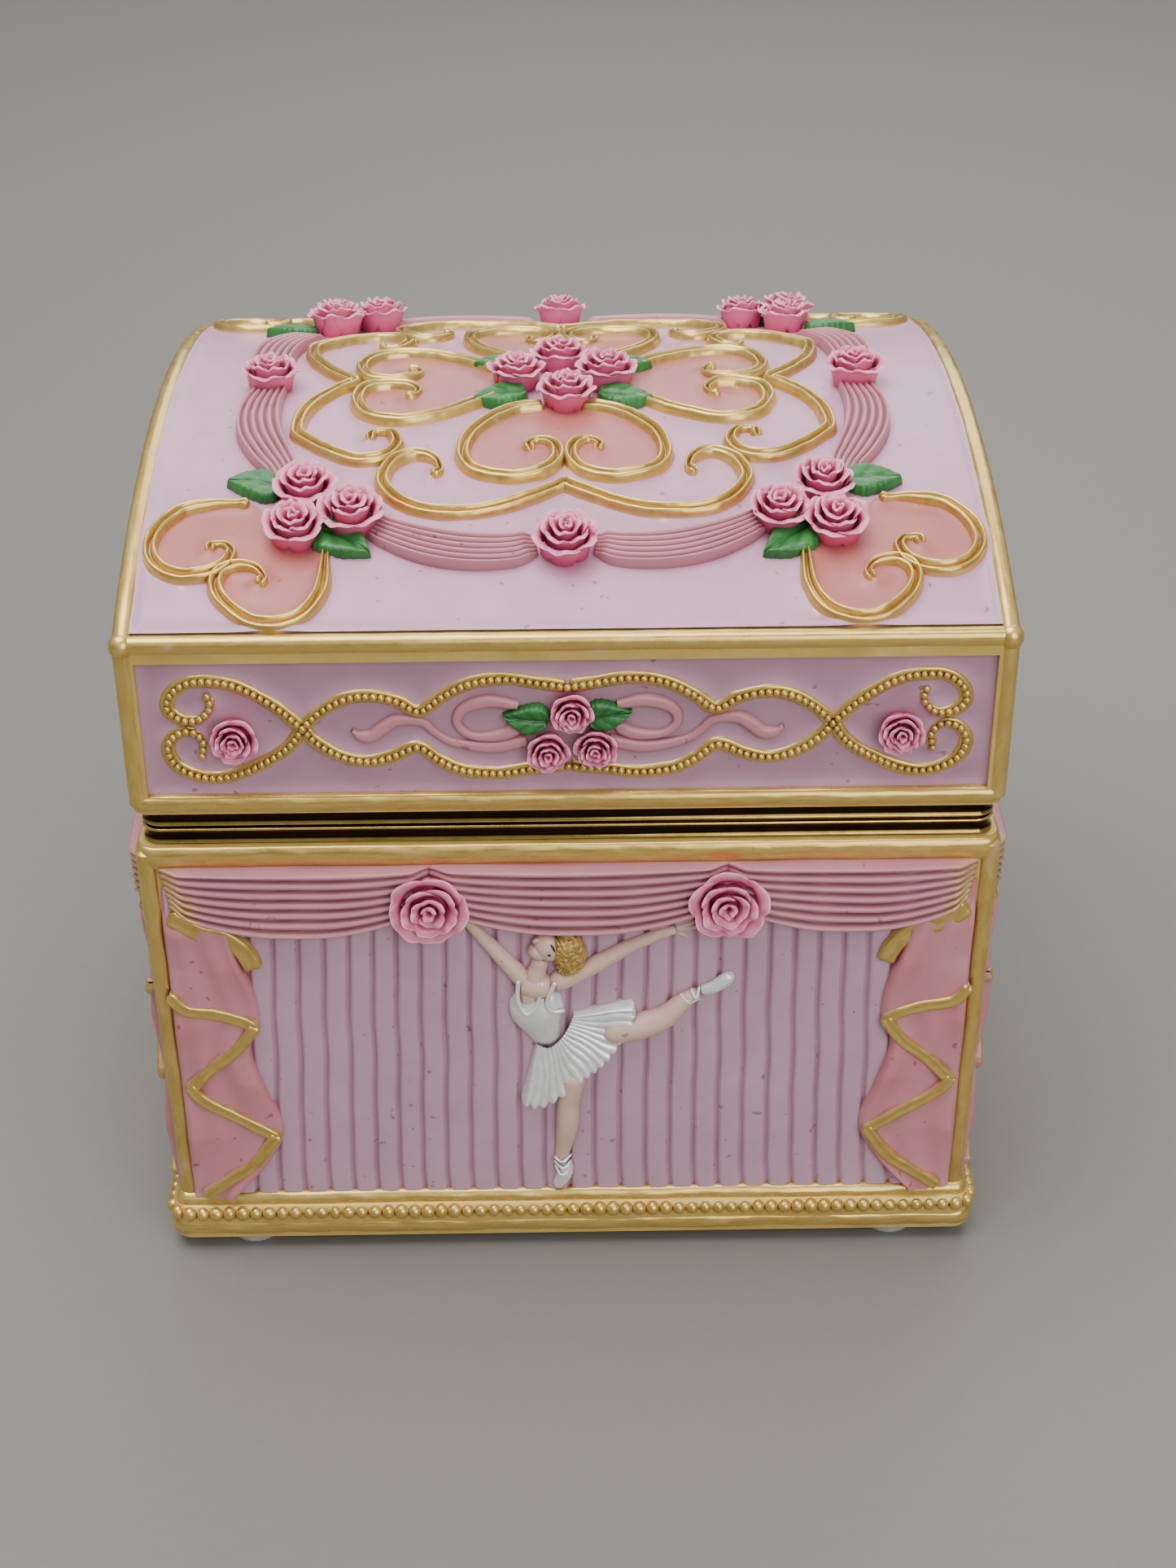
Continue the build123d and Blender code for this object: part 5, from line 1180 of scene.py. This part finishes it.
def cascade(cast, place, sx, seed):
    """Gathered side curtain with a gold hem folded to and fro down its front."""
    first, last = between(quarter(CASCADE_LEFT, sx, 1), quarter(CASCADE_RIGHT, sx, 1), 110)
    u = np.linspace(0, 1, 34)[None, :]
    a = first[:, 0, None] * (1 - u) + last[:, 0, None] * u
    b = first[:, 1, None] * (1 - u) + last[:, 1, None] * u
    fold = np.abs(((b - 1.4) / 12.9 + 0.02 * u) % 2 - 1)
    lean = fold * u + (1 - fold) * (1 - u)
    edge = np.minimum(u, 1 - u)
    lift = (1.5 + 1.5 * lean + 0.5 * u) * np.sqrt(np.clip(edge / 0.07, 0, 1)) - 0.3 * (edge < 0.01)
    lift += 0.22 * np.sin(5 * u * np.pi + 0.05 * b + seed) * smooth(0, 0.1, edge)
    lift *= 1 - 0.75 * smooth(60.0, 66.0, b)
    colour = mix(flat(SWAG_PINK, a.shape), flat(HEART_PINK, a.shape), 0.40 * smooth(0.15, 0.8, lean)) * 1.08
    lay(cast, place, a, b, lift, colour)
    for k, points in enumerate(CASCADE_TRIM):
        scroll(cast, place, quarter(points, sx, 1), 1.15, 0.8, FLAT_HEM, SWAG_PINK, seed + k,
            base=2.2 + 0.1 * k)
    scroll(cast, place, quarter(TIE_TRIM, sx, 1), 1.7, 1.3, FLAT_HEM, GOLD_PAINT, seed + 6, base=1.2)


def case_frame(cast):
    """Gold rim, corner posts and plinth moulding."""
    skirt(cast, [(out, CASE_TOP + z) for out, z in CASE_RIM], HALF_W, HALF_D, 3.0, 21)
    skirt(cast, [(out, PLINTH_BOTTOM + z) for out, z in PLINTH_PROFILE], CASE_HIGH[0], CASE_HIGH[1], 3.4,
        23, wear=0.2)
    for sx, sy in QUARTERS:
        x, y = sx * (HALF_W - 1.5), sy * (HALF_D - 1.5)
        foot = (x - sx * CASE_TAPER, y - sy * CASE_TAPER, PANEL_FOOT - 0.8)
        bar(cast, [foot, (x, y, CASE_TOP - 1.6)], POST_HALF + 0.1, POST_HALF + 0.1, (sx, 0, 0),
            25 + sx + 2 * sy)


def plinth_beads(cast):
    fine = unit_bead(10, 14)
    half_x, half_y = CASE_HIGH[0] - 0.35, CASE_HIGH[1] - 0.35
    path, _ = around(half_x, half_y, 3.0, 0.3)
    loop = np.vstack([path, path[:1]])
    along = np.concatenate([[0], np.cumsum(np.linalg.norm(np.diff(loop, axis=0), axis=1))])
    count = int(along[-1] / PLINTH_BEAD_PITCH)
    for k, at in enumerate(np.linspace(0, along[-1], count, endpoint=False)):
        centre = (np.interp(at, along, loop[:, 0]), np.interp(at, along, loop[:, 1]),
            PLINTH_BOTTOM + PLINTH_BEAD_Z)
        bead(cast, np.array(centre), PLINTH_BEAD, k, fine)


# --- relief dancer on the front ----------------------------------------------------------
SKIRT_WAIST = ((-6.4, 35.4), (-4.0, 34.6), (-1.8, 36.6), (-0.4, 39.2), (0.6, 42.0))
SKIRT_HEM = (
    (-9.6, 21.8), (-7.0, 20.9), (-4.6, 21.4), (-1.0, 24.0), (2.4, 27.4), (6.4, 31.2), (9.4, 36.2),
    (11.6, 41.0),
    (11.4, 44.9),
)
SKIRT_RIBS = 17


def relief_skirt(cast, place):
    rows, columns = 190, 40
    first, last = between(SKIRT_WAIST, SKIRT_HEM, rows)
    v = np.linspace(0, 1, rows)[:, None]
    u = np.linspace(0, 1, columns)[None, :]
    rib = np.abs(np.sin(np.pi * SKIRT_RIBS * (v + 0.012 * np.sin(6 * u + 14 * v))))
    reach = u * (1 + 0.045 * (rib - 0.5))
    a = first[:, 0, None] * (1 - reach) + last[:, 0, None] * reach
    b = first[:, 1, None] * (1 - reach) + last[:, 1, None] * reach
    edge = np.minimum(np.minimum(v, 1 - v) * 30, (1 - u) * 24)
    lift = 2.6 + 1.0 * u + (0.15 + 0.55 * u) * (rib**0.8 - 0.5)
    lift = lift * np.sqrt(np.clip(edge, 0, 1)) - 0.2
    # Painted shade: darker in the grooves between the skirt's ribs.
    colour = mix(flat(np.array(PEARL) * 0.62, a.shape), flat(PEARL, a.shape), smooth(0.1, 0.7, rib))
    lay(cast, place, a, b, lift, colour)


def relief_dancer(body, dress, place):
    """Dancer in arabesque, cast in relief: skin, pearl dress, painted face and gold hair."""
    skin = (
        ((0.8, 29.0, 1.4, 2.5), (-0.5, 22.0, 1.5, 2.15), (-0.8, 16.0, 1.6, 2.1), (-1.7, 9.6, 1.4, 1.4),
        (-2.1, 7.0, 1.3, 1.3)),
        ((5.5, 37.4, 1.4, 2.8), (12.6, 38.9, 1.6, 2.6), (17.0, 41.0, 1.8, 2.2), (20.4, 44.4, 1.6, 1.6),
        (23.4, 46.2, 1.4, 1.15)),
        ((-7.6, 48.6, 1.3, 1.9), (-9.6, 51.0, 1.3, 1.75), (-13.1, 55.7, 1.4, 1.45),
        (-16.4, 60.0, 1.3, 1.15), (-19.0, 63.6, 1.2, 0.9),
         (-20.4, 65.6, 1.0, 0.5)),
        ((-3.6, 48.4, 1.4, 2.2), (0.2, 50.4, 1.5, 1.95), (4.7, 52.8, 1.5, 1.65), (9.9, 56.1, 1.5, 1.4),
        (15.4, 58.7, 1.3, 1.05),
         (19.0, 59.8, 1.1, 0.8)),
        ((18.6, 59.8, 1.1, 0.7), (21.2, 60.9, 1.0, 0.5), (23.2, 61.7, 0.8, 0.25)),
        ((18.6, 59.4, 1.0, 0.6), (20.4, 58.4, 0.9, 0.45), (21.6, 57.4, 0.7, 0.22)),
        ((18.9, 59.7, 1.1, 0.55), (21.8, 60.0, 0.9, 0.4), (23.8, 60.3, 0.7, 0.2)),
        ((-6.9, 46.0, 1.2, 2.6), (-6.3, 50.0, 1.5, 2.0), (-5.7, 52.2, 1.6, 1.6), (-5.0, 54.8, 1.7, 1.6)),
        ((-9.6, 48.0, 1.0, 2.2), (-6.2, 48.2, 1.4, 2.7), (-2.6, 47.4, 1.1, 2.2)),
    )
    for k, stations in enumerate(skin):
        limb(body, place, stations, SKIN, k)
    limb(dress, place, ((-6.4, 48.4, 0.6, 3.4), (-6.2, 45.4, 1.0, 4.6), (-6.0, 42.4, 1.3, 4.9),
        (-4.9, 38.4, 1.2, 3.4),
                        (-4.0, 34.6, 1.2, 1.9)), PEARL, 3, 0.55, 34)
    blob(body, place, (-7.3, 46.6, 2.35), (3.1, 1.75, 1.3), 84, SKIN, 2)
    limb(dress, place, ((-9.3, 50.4, 2.9, 0.4), (-9.4, 46.0, 3.5, 0.42), (-7.9, 43.3, 3.8, 0.42),
        (-6.0, 45.2, 3.7, 0.42),
                        (-5.0, 50.0, 3.2, 0.4)), PEARL, 5)
    limb(dress, place, ((-2.7, 50.2, 3.4, 0.4), (-4.2, 46.0, 3.7, 0.42), (-3.4, 43.8, 3.6, 0.42),
        (-0.9, 43.4, 2.9, 0.4)), PEARL, 6)
    relief_skirt(dress, place)
    relief_shoes(dress, place)
    relief_head(body, place)


def relief_shoes(cast, place):
    limb(cast, place, [(-1.2, 7.4, 1.4, 1.2), (-1.3, 4.6, 1.6, 1.5), (-2.4, 2.0, 1.4, 1.15),
        (-2.9, 0.6, 1.2, 0.8)], PEARL, 7)
    limb(cast, place, [(23.2, 46.3, 1.3, 1.0), (25.8, 47.4, 1.5, 1.25), (28.0, 49.0, 1.4, 1.3),
        (29.0, 50.4, 1.2, 0.9)], PEARL, 8)
    wraps = (
        ((-3.4, 8.6, 1.9), (-1.8, 8.0, 3.0), (0.0, 8.9, 1.6)),
        ((-3.4, 7.6, 1.8), (-1.7, 6.6, 3.1), (0.0, 7.6, 1.7)),
        ((-3.2, 6.6, 1.9), (-1.9, 5.0, 3.2), (0.1, 6.2, 1.9)),
        ((19.6, 46.2, 1.8), (21.2, 44.8, 3.0), (22.2, 43.8, 1.4)),
        ((21.6, 47.2, 1.6), (22.4, 45.9, 3.0), (23.6, 44.6, 1.6)),
        ((20.8, 43.6, 1.4), (22.4, 45.4, 3.0), (23.2, 47.6, 1.6)),
    )
    for k, points in enumerate(wraps):
        limb(cast, place, [(*point, 0.27) for point in points], PEARL, k)


def relief_head(cast, place):
    blob(cast, place, (-3.9, 57.0, 1.9), (3.1, 2.5, 2.1), 118, SKIN, 1)
    blob(cast, place, (-5.6, 55.9, 1.8), (2.0, 1.65, 1.7), 150, SKIN, 2)
    limb(cast, place, [(-5.1, 58.9, 2.6, 0.5), (-6.1, 58.9, 2.9, 0.5), (-6.5, 58.3, 2.9, 0.42)], SKIN, 3)
    blob(cast, place, (-6.9, 57.1, 2.5), (0.62, 0.34, 0.45), 60, LIP, 4, rows=12, cols=16)
    blob(cast, place, (-3.7, 56.4, 3.86), (0.36, 0.30, 0.22), 0, INK, 5, rows=12, cols=16)
    limb(cast, place, [(-3.5, 58.6, 3.55, 0.16), (-3.0, 57.9, 3.85, 0.18), (-2.7, 57.0, 3.9, 0.14)], INK, 6)
    blob(cast, place, (-0.3, 56.2, 1.9), (4.6, 3.0, 2.7), 100, HAIR, 7, 0.07, 1.3, np.array(HAIR) * 0.35,
        0.25, 70, 100)
    blob(cast, place, (0.0, 52.9, 1.9), (2.6, 1.9, 2.0), 20, HAIR, 9, 0.08, 1.6, np.array(HAIR) * 0.35,
        0.25, 50, 70)


# --- soft furnishings inside -------------------------------------------------------------
FOAM_PUFF = 0.075
FOAM_PITCH = 2.4


def soft_block(cast, low, high, radius, seed):
    """Padded block with rounded edges and a slightly uneven face."""
    low, high = np.array(low, float), np.array(high, float)
    size = high - low
    for axis in range(3):
        others = [k for k in range(3) if k != axis]
        for side in (0, 1):
            spans = [np.unique(np.concatenate([
                np.linspace(low[k], high[k], max(6, int(size[k] / FOAM_PITCH))),
                low[k] + radius * np.linspace(0, 1, 4),
                high[k] - radius * np.linspace(0, 1, 4)])) for k in others]
            first, second = np.meshgrid(*spans, indexing="ij")
            points = np.zeros((*first.shape, 3))
            points[..., others[0]] = first
            points[..., others[1]] = second
            points[..., axis] = high[axis] if side else low[axis]
            core = np.clip(points, low + radius, high - radius)
            away = points - core
            away /= np.linalg.norm(away, axis=-1)[..., None] + 1e-9
            swell = radius + FOAM_PUFF * wobble2(core[..., others[0]], core[..., others[1]], seed, 0.22)
            turn = (side == 1) == (axis == 1)
            cast.patch(core + away * swell[..., None], flat(SWAG_PINK, first.shape), turn=turn)


def soft_node(name, node, body, radius, seed):
    cast = Cast()
    low, high = box_mm(node)
    soft_block(cast, low, high, radius, seed)
    cast.piece(name, VELVET, body, "velvet", (node,))


def soft_lining():
    """Four padded walls where the CAD has one thin box."""
    cast = Cast()
    low, high = box_mm("case_lining")
    thick = 1.2
    soft_block(cast, low, (high[0], low[1] + thick, high[2]), 0.5, 1)
    soft_block(cast, (low[0], high[1] - thick, low[2]), high, 0.5, 2)
    soft_block(cast, (low[0], low[1] + thick, low[2]), (low[0] + thick, high[1] - thick, high[2]), 0.5, 3)
    soft_block(cast, (high[0] - thick, low[1] + thick, low[2]), (high[0], high[1] - thick, high[2]), 0.5, 4)
    cast.piece("case_lining_velvet", VELVET, "case", "velvet", ("case_lining",))


def soft_ring():
    """Padded collar round the turntable."""
    cast = Cast()
    low, high = box_mm("stage_ring")
    outer = (high[0] - low[0]) / 2
    inner = outer - 7.0
    centre = (low + high) / 2
    angle = np.linspace(0, 2 * np.pi, 96, endpoint=False)[:, None]
    around_section = np.linspace(0, 2 * np.pi, 28, endpoint=False)[None, :]
    cos, sin = np.cos(around_section), np.sin(around_section)
    half_width, half_height = (outer - inner) / 2, (high[2] - low[2]) / 2
    r = (outer + inner) / 2 + half_width * np.sign(cos) * np.abs(cos) ** 0.6
    z = centre[2] + half_height * np.sign(sin) * np.abs(sin) ** 0.6 * (1 - 0.04 * np.abs(np.sin(12 * angle)))
    points = np.stack(np.broadcast_arrays(centre[0] + r * np.cos(angle), centre[1] + r * np.sin(angle), z),
        axis=-1)
    cast.patch(points, flat(SWAG_PINK, z.shape), loop_u=True, loop_v=True)
    cast.piece("stage_ring_velvet", VELVET, "case", "velvet", ("stage_ring",))


# --- turning dancer ----------------------------------------------------------------------
TUTU_RADIUS = 13.6
WAIST_UP = 34.0
NET_THICKNESS = 0.12


def figure(a, b, h):
    """Standing figure's space: a across, b up from the turntable, h towards the front."""
    a, b, h = np.broadcast_arrays(a, b, h)
    return np.stack([a, STAGE_Y - h, TABLE_HIGH[2] + b], axis=-1)


def dancer_figure():
    """Small moulded dancer on one toe, arms raised in a ring over the head."""
    cast = Cast()
    limb(cast, figure, [(0.0, 0.4, 0, 0.8), (0.0, 3.0, 0.1, 1.05), (0.0, 8.0, 0, 1.3), (0.1, 14, -0.2, 1.9),
        (0.2, 20, 0.1, 1.7),
                        (0.5, 27, 0, 2.5), (0.5, 33, 0, 2.7)], SKIN, 1)
    limb(cast, figure, [(1.2, 31, 0, 2.5), (3.0, 26, 1.2, 2.1), (4.2, 20.5, 2.6, 1.7),
        (3.0, 16.5, 1.6, 1.7), (1.4, 13.0, 0.8, 1.1)], SKIN, 2)
    limb(cast, figure, [(1.9, 13.8, 0.9, 1.1), (0.9, 11.6, 0.6, 1.15), (0.1, 9.8, 0.8, 0.8)], ROSE_PALE, 3)
    limb(cast, figure, [(0, 5.2, 0, 1.15), (0, 3.2, 0.3, 1.25), (0, 1.2, 0.2, 1.0), (0, 0.3, 0.1, 0.7)],
        ROSE_PALE, 4)
    limb(cast, figure, [(0.2, 32, 0, 3.1), (0.1, 35.5, 0, 2.5), (0, 39.5, 0.3, 3.4), (0, 43, 0, 3.0),
        (0, 44.5, 0, 1.8)], PEARL, 5, 0.8)
    limb(cast, figure, [(0, 42.8, 0, 2.4), (0, 45.2, 0, 1.3), (0, 47.4, 0, 1.2)], SKIN, 6)
    for sx in (1, -1):
        limb(cast, figure, [(sx * 2.6, 43.0, 0, 1.2), (sx * 5.6, 46.6, 0.6, 0.95),
            (sx * 6.6, 51.5, 1.0, 0.8), (sx * 5.0, 55.8, 1.4, 0.65),
                            (sx * 2.4, 58.4, 1.6, 0.6), (sx * 0.9, 59.2, 1.8, 0.4)], SKIN, 7)
    blob(cast, figure, (0, 49.4, 0.1), (2.9, 2.3, 2.4), 90, SKIN, 1)
    blob(cast, figure, (0, 50.2, -0.5), (2.7, 2.6, 2.5), 90, HAIR, 2, 0.03, 2.0, np.array(HAIR) * 0.4)
    blob(cast, figure, (0, 52.9, -1.3), (1.4, 1.4, 1.3), 0, HAIR, 3, 0.06, 3.0, np.array(HAIR) * 0.4)
    for sx in (1, -1):
        blob(cast, figure, (sx * 0.85, 49.6, 2.25), (0.28, 0.22, 0.2), 0, INK, 4, rows=10, cols=12)
    blob(cast, figure, (0, 48.2, 2.2), (0.5, 0.18, 0.2), 0, LIP, 5, rows=10, cols=12)
    cast.piece("dancer_figure", RESIN, "turntable", "dancer_paint", ("dancer",))


def dancer_net():
    """Three ruffled rings of net gathered at the waist."""
    cast = Cast()
    for layer in range(3):
        angle = np.linspace(0, 2 * np.pi, 240, endpoint=False)[:, None]
        share = np.linspace(0, 1, 16)[None, :]
        ruffle = np.sin((17 + 2 * layer) * angle + layer) + 0.35 * np.sin(31 * angle + 2 * layer)
        r = 2.4 + (TUTU_RADIUS - 0.9 * layer - 2.4) * share
        z = TABLE_HIGH[2] + WAIST_UP + 0.9 - 1.3 * layer - 2.4 * share**2 + 0.75 * ruffle * share**1.2
        points = np.stack(np.broadcast_arrays(r * np.cos(angle), STAGE_Y + r * np.sin(angle), z), axis=-1)
        cast.patch(points, flat(ROSE_PALE, z.shape), loop_u=True)
    made = cast.piece("dancer_net", NET, "turntable", "tutu_net", ("dancer_tutu",))
    thick = made.modifiers.new("thickness", "SOLIDIFY")
    thick.thickness = NET_THICKNESS * MM


def net_cloth():
    """Fine open net: pale threads with holes between them."""
    n = Nodes("tutu_net")
    threads = n.add("ShaderNodeTexVoronoi", feature="DISTANCE_TO_EDGE")
    threads.inputs["Scale"].default_value = 1500
    n.link(n.coords(), threads.inputs["Vector"])
    n.set(Base_Color=(0.900, 0.620, 0.700), Roughness=0.7, Sheen_Weight=0.3)
    n.set(Alpha=n.ramp(threads.outputs["Distance"], ((0.10, (1.0, 1.0, 1.0)), (0.22, (0.35, 0.35, 0.35)))))
    return n.material


NET = net_cloth()


# --- CAD nodes that stay in view ---------------------------------------------------------
FINISHES = (
    (GOLD_METAL, ("case_bezel", "lid_bezel", "mirror_frame")),
    (GOLD_METAL, ("case_hinge_leaf", "lid_hinge_leaf", "hinge_pin")),
    (STEEL, ("base_screws", "bedplate_screws", "comb_screws", "winding_key", "winding_arbor", "spindle")),
    (STEEL, ("stop_spring", "mainspring", "cylinder_arbor", "comb")),
    (BRASS, ("pin_cylinder", "spring_barrel", "arbor_bearings", "fan_bracket")),
    (ZINC, ("bedplate",)),
    (NYLON, ("governor_wheel", "governor_fan", "turntable", "stop_pin", "stop_pin_guide", "spindle_bush")),
    (FELT, ("base_plate",)),
    (CLEAR, ("bumper_feet",)),
    (MIRROR, ("mirror",)),
)
BEVELS = {
    "case_bezel": 0.5, "lid_bezel": 0.5, "mirror_frame": 0.5, "winding_key": 0.5, "bumper_feet": 0.8,
    "turntable": 0.3,
}


def under_resin():
    """Gold ground of the two cast shells, seen where the ornament leaves them bare."""
    n = Nodes("resin_ground")
    mottle = n.noise(n.coords(), 130, 4, 0.55)
    n.set(Base_Color=n.ramp(mottle, GOLD_STOPS), Metallic=0.45, Normal=n.bump(mottle, 0.2, 0.0002))
    rough = n.math("MULTIPLY_ADD", mottle, 0.25)
    rough.node.inputs[2].default_value = 0.32
    n.set(Roughness=rough)
    return n.material


def dress(node, material, bevel=0.0):
    made = frame["nodes"][node]
    made.data.materials.clear()
    made.data.materials.append(material)
    if bevel:
        edge = made.modifiers.new("edge", "BEVEL")
        edge.width = bevel * MM
        edge.segments = 3
        edge.limit_method = "ANGLE"


def dress_cad():
    for material, names in FINISHES:
        for node in names:
            dress(node, material, BEVELS.get(node, 0.0))
    ground = under_resin()
    for node in ("case_shell", "lid_shell"):
        dress(node, ground)


# --- whole model -------------------------------------------------------------------------
def build_lid():
    bezel_band("lid_bezel_edge", "lid_bezel", "lid")
    gold = Cast()
    paths = lid_top_scrolls(gold)
    gold.piece("lid_top_scrolls", RESIN, "lid", "resin_gold")
    ground = Cast()
    lid_top_field(ground, paths)
    ground.piece("lid_top_field", RESIN, "lid", "resin_heart", ("lid_hearts",))
    drapes = Cast()
    lid_top_drapes(drapes)
    drapes.piece("lid_top_drapes", RESIN, "lid", "resin_swag", ("lid_swags",))
    roses = Cast()
    lid_top_roses(roses)
    roses.piece("lid_top_roses", RESIN, "lid", "resin_rose", ("lid_roses",))
    leaves = Cast()
    lid_top_leaves(leaves)
    leaves.piece("lid_top_leaves", RESIN, "lid", "resin_leaf", ("lid_leaves",))
    bands, beads, flowers = Cast(), Cast(), Cast()
    lid_sides(bands, beads, flowers)
    bands.piece("lid_side_bands", RESIN, "lid", "resin_gold", ("lid_bands",))
    beads.piece("lid_side_beads", RESIN, "lid", "resin_gold")
    flowers.piece("lid_side_flowers", RESIN, "lid", "resin_rose", ("lid_band_roses",))
    rims = Cast()
    lid_frame(rims)
    rims.piece("lid_frame", RESIN, "lid", "resin_gold")
    sides = Cast()
    lid_lunettes(sides)
    sides.piece("lid_lunettes", RESIN, "lid", "resin_body")


def build_case():
    bezel_band("case_bezel_edge", "case_bezel", "case")
    curtain, drapes, sides, roses = Cast(), Cast(), Cast(), Cast()
    for face, place in enumerate(CASE_FACES):
        pleats(curtain, place, face)
        valance(drapes, place, face)
        for sx in (1, -1):
            cascade(sides, place, sx, 9 * face + sx)
        for k, across in enumerate(VALANCE_ROSES):
            rose_on(roses, place, across, VALANCE_ROSE_UP, VALANCE_ROSE_RADIUS, VALANCE_ROSE_HEIGHT,
                70 + 2 * face + k, 2.0)
    curtain.piece("case_pleats", RESIN, "case", "resin_curtain", ("case_curtains",))
    drapes.piece("case_swags", RESIN, "case", "resin_swag", ("case_valances",))
    sides.piece("case_cascades", RESIN, "case", "resin_swag")
    roses.piece("case_roses", RESIN, "case", "resin_rose", ("valance_roses",))
    rims = Cast()
    case_frame(rims)
    rims.piece("case_frame", RESIN, "case", "resin_gold")
    beads = Cast()
    plinth_beads(beads)
    beads.piece("plinth_beads", RESIN, "case", "resin_gold")
    body, dress = Cast(), Cast()
    relief_dancer(body, dress, CASE_FACES[0])
    body.piece("dancer_cast", RESIN, "case", "dancer_paint", ("dancer_relief",))
    dress.piece("dancer_dress", PEARL_PAINT, "case", "dancer_paint")


def build_inside():
    soft_lining()
    soft_node("deck_velvet", "deck", "case", 0.7, 5)
    for seed, node in enumerate(("left_divider", "right_divider", "front_divider")):
        soft_node(node + "_velvet", node, "case", 1.0, 6 + seed)
    soft_node("lid_board_velvet", "lid_board", "lid", 0.7, 12)
    soft_ring()
    dancer_figure()
    dancer_net()


# --- studio ------------------------------------------------------------------------------
FLOOR_REACH = 12.0


def studio():
    """Plain floor, soft light from above and both sides."""
    mesh = bpy.data.meshes.new("floor")
    reach = FLOOR_REACH
    mesh.from_pydata([(-reach, -reach, 0), (reach, -reach, 0), (reach, reach, 0), (-reach, reach, 0)], [],
        [(0, 1, 2, 3)])
    floor = bpy.data.objects.new("floor", mesh)
    bpy.context.scene.collection.objects.link(floor)
    n = Nodes("floor")
    grain = n.noise(n.coords(), 300, 3, 0.6)
    n.set(Base_Color=n.ramp(grain, ((0.3, (0.190, 0.183, 0.164)), (0.7, (0.196, 0.189, 0.170)))),
        Roughness=0.62)
    mesh.materials.append(n.material)
    world = bpy.data.worlds.new("world")
    bpy.context.scene.world = world
    world.use_nodes = True
    sky = world.node_tree.nodes["Background"]
    ramp = world.node_tree.nodes.new("ShaderNodeValToRGB")
    low, high = ramp.color_ramp.elements
    low.position = 0.49
    low.color = (0.07, 0.07, 0.068, 1)
    high.position = 0.95
    high.color = (0.96, 0.97, 1.0, 1)
    middle = ramp.color_ramp.elements.new(0.62)
    middle.color = (0.42, 0.42, 0.43, 1)
    split = world.node_tree.nodes.new("ShaderNodeSeparateXYZ")
    place = world.node_tree.nodes.new("ShaderNodeTexCoord")
    lift = world.node_tree.nodes.new("ShaderNodeMapRange")
    lift.inputs["From Min"].default_value = -1.0
    world.node_tree.links.new(place.outputs["Generated"], split.inputs[0])
    world.node_tree.links.new(split.outputs["Z"], lift.inputs["Value"])
    world.node_tree.links.new(lift.outputs["Result"], ramp.inputs["Fac"])
    world.node_tree.links.new(ramp.outputs["Color"], sky.inputs["Color"])
    sky.inputs["Strength"].default_value = 0.75
    for name, place, size, power in (
        ("key", (-0.20, -0.10, 1.05), 0.8, 12.0),
        ("fill", (0.45, -1.00, 0.60), 0.8, 8.0),
        ("back", (0.15, 0.80, 0.75), 0.8, 5.0),
    ):
        light = bpy.data.lights.new(name, "AREA")
        light.size = size
        light.energy = power
        made = bpy.data.objects.new(name, light)
        made.location = place
        made.rotation_euler = (Vector((0, 0, 0.07)) - Vector(place)).to_track_quat("-Z", "Y").to_euler()
        bpy.context.scene.collection.objects.link(made)


CAMERA_AT = (-0.0019, -0.4299, 0.3171)
PITCH = 31.06
YAW = 0.84
ROLL = -0.26
LENS = 56.04


def camera():
    cam = bpy.data.cameras.new("camera")
    cam.lens = LENS
    cam.sensor_width = 36
    cam.clip_start = 0.01
    made = bpy.data.objects.new("camera", cam)
    bpy.context.scene.collection.objects.link(made)
    pitch, yaw, roll = math.radians(PITCH), math.radians(YAW), math.radians(ROLL)
    forward = Vector((math.sin(yaw) * math.cos(pitch), math.cos(yaw) * math.cos(pitch), -math.sin(pitch)))
    right = Vector((math.cos(yaw), -math.sin(yaw), 0))
    up = right.cross(forward)
    side = right * math.cos(roll) + up * math.sin(roll)
    top = up * math.cos(roll) - right * math.sin(roll)
    turn = Matrix((side, top, -forward)).transposed().to_4x4()
    made.matrix_world = Matrix.Translation(CAMERA_AT) @ turn
    bpy.context.scene.camera = made


dress_cad()
build_lid()
build_case()
build_inside()
studio()
camera()
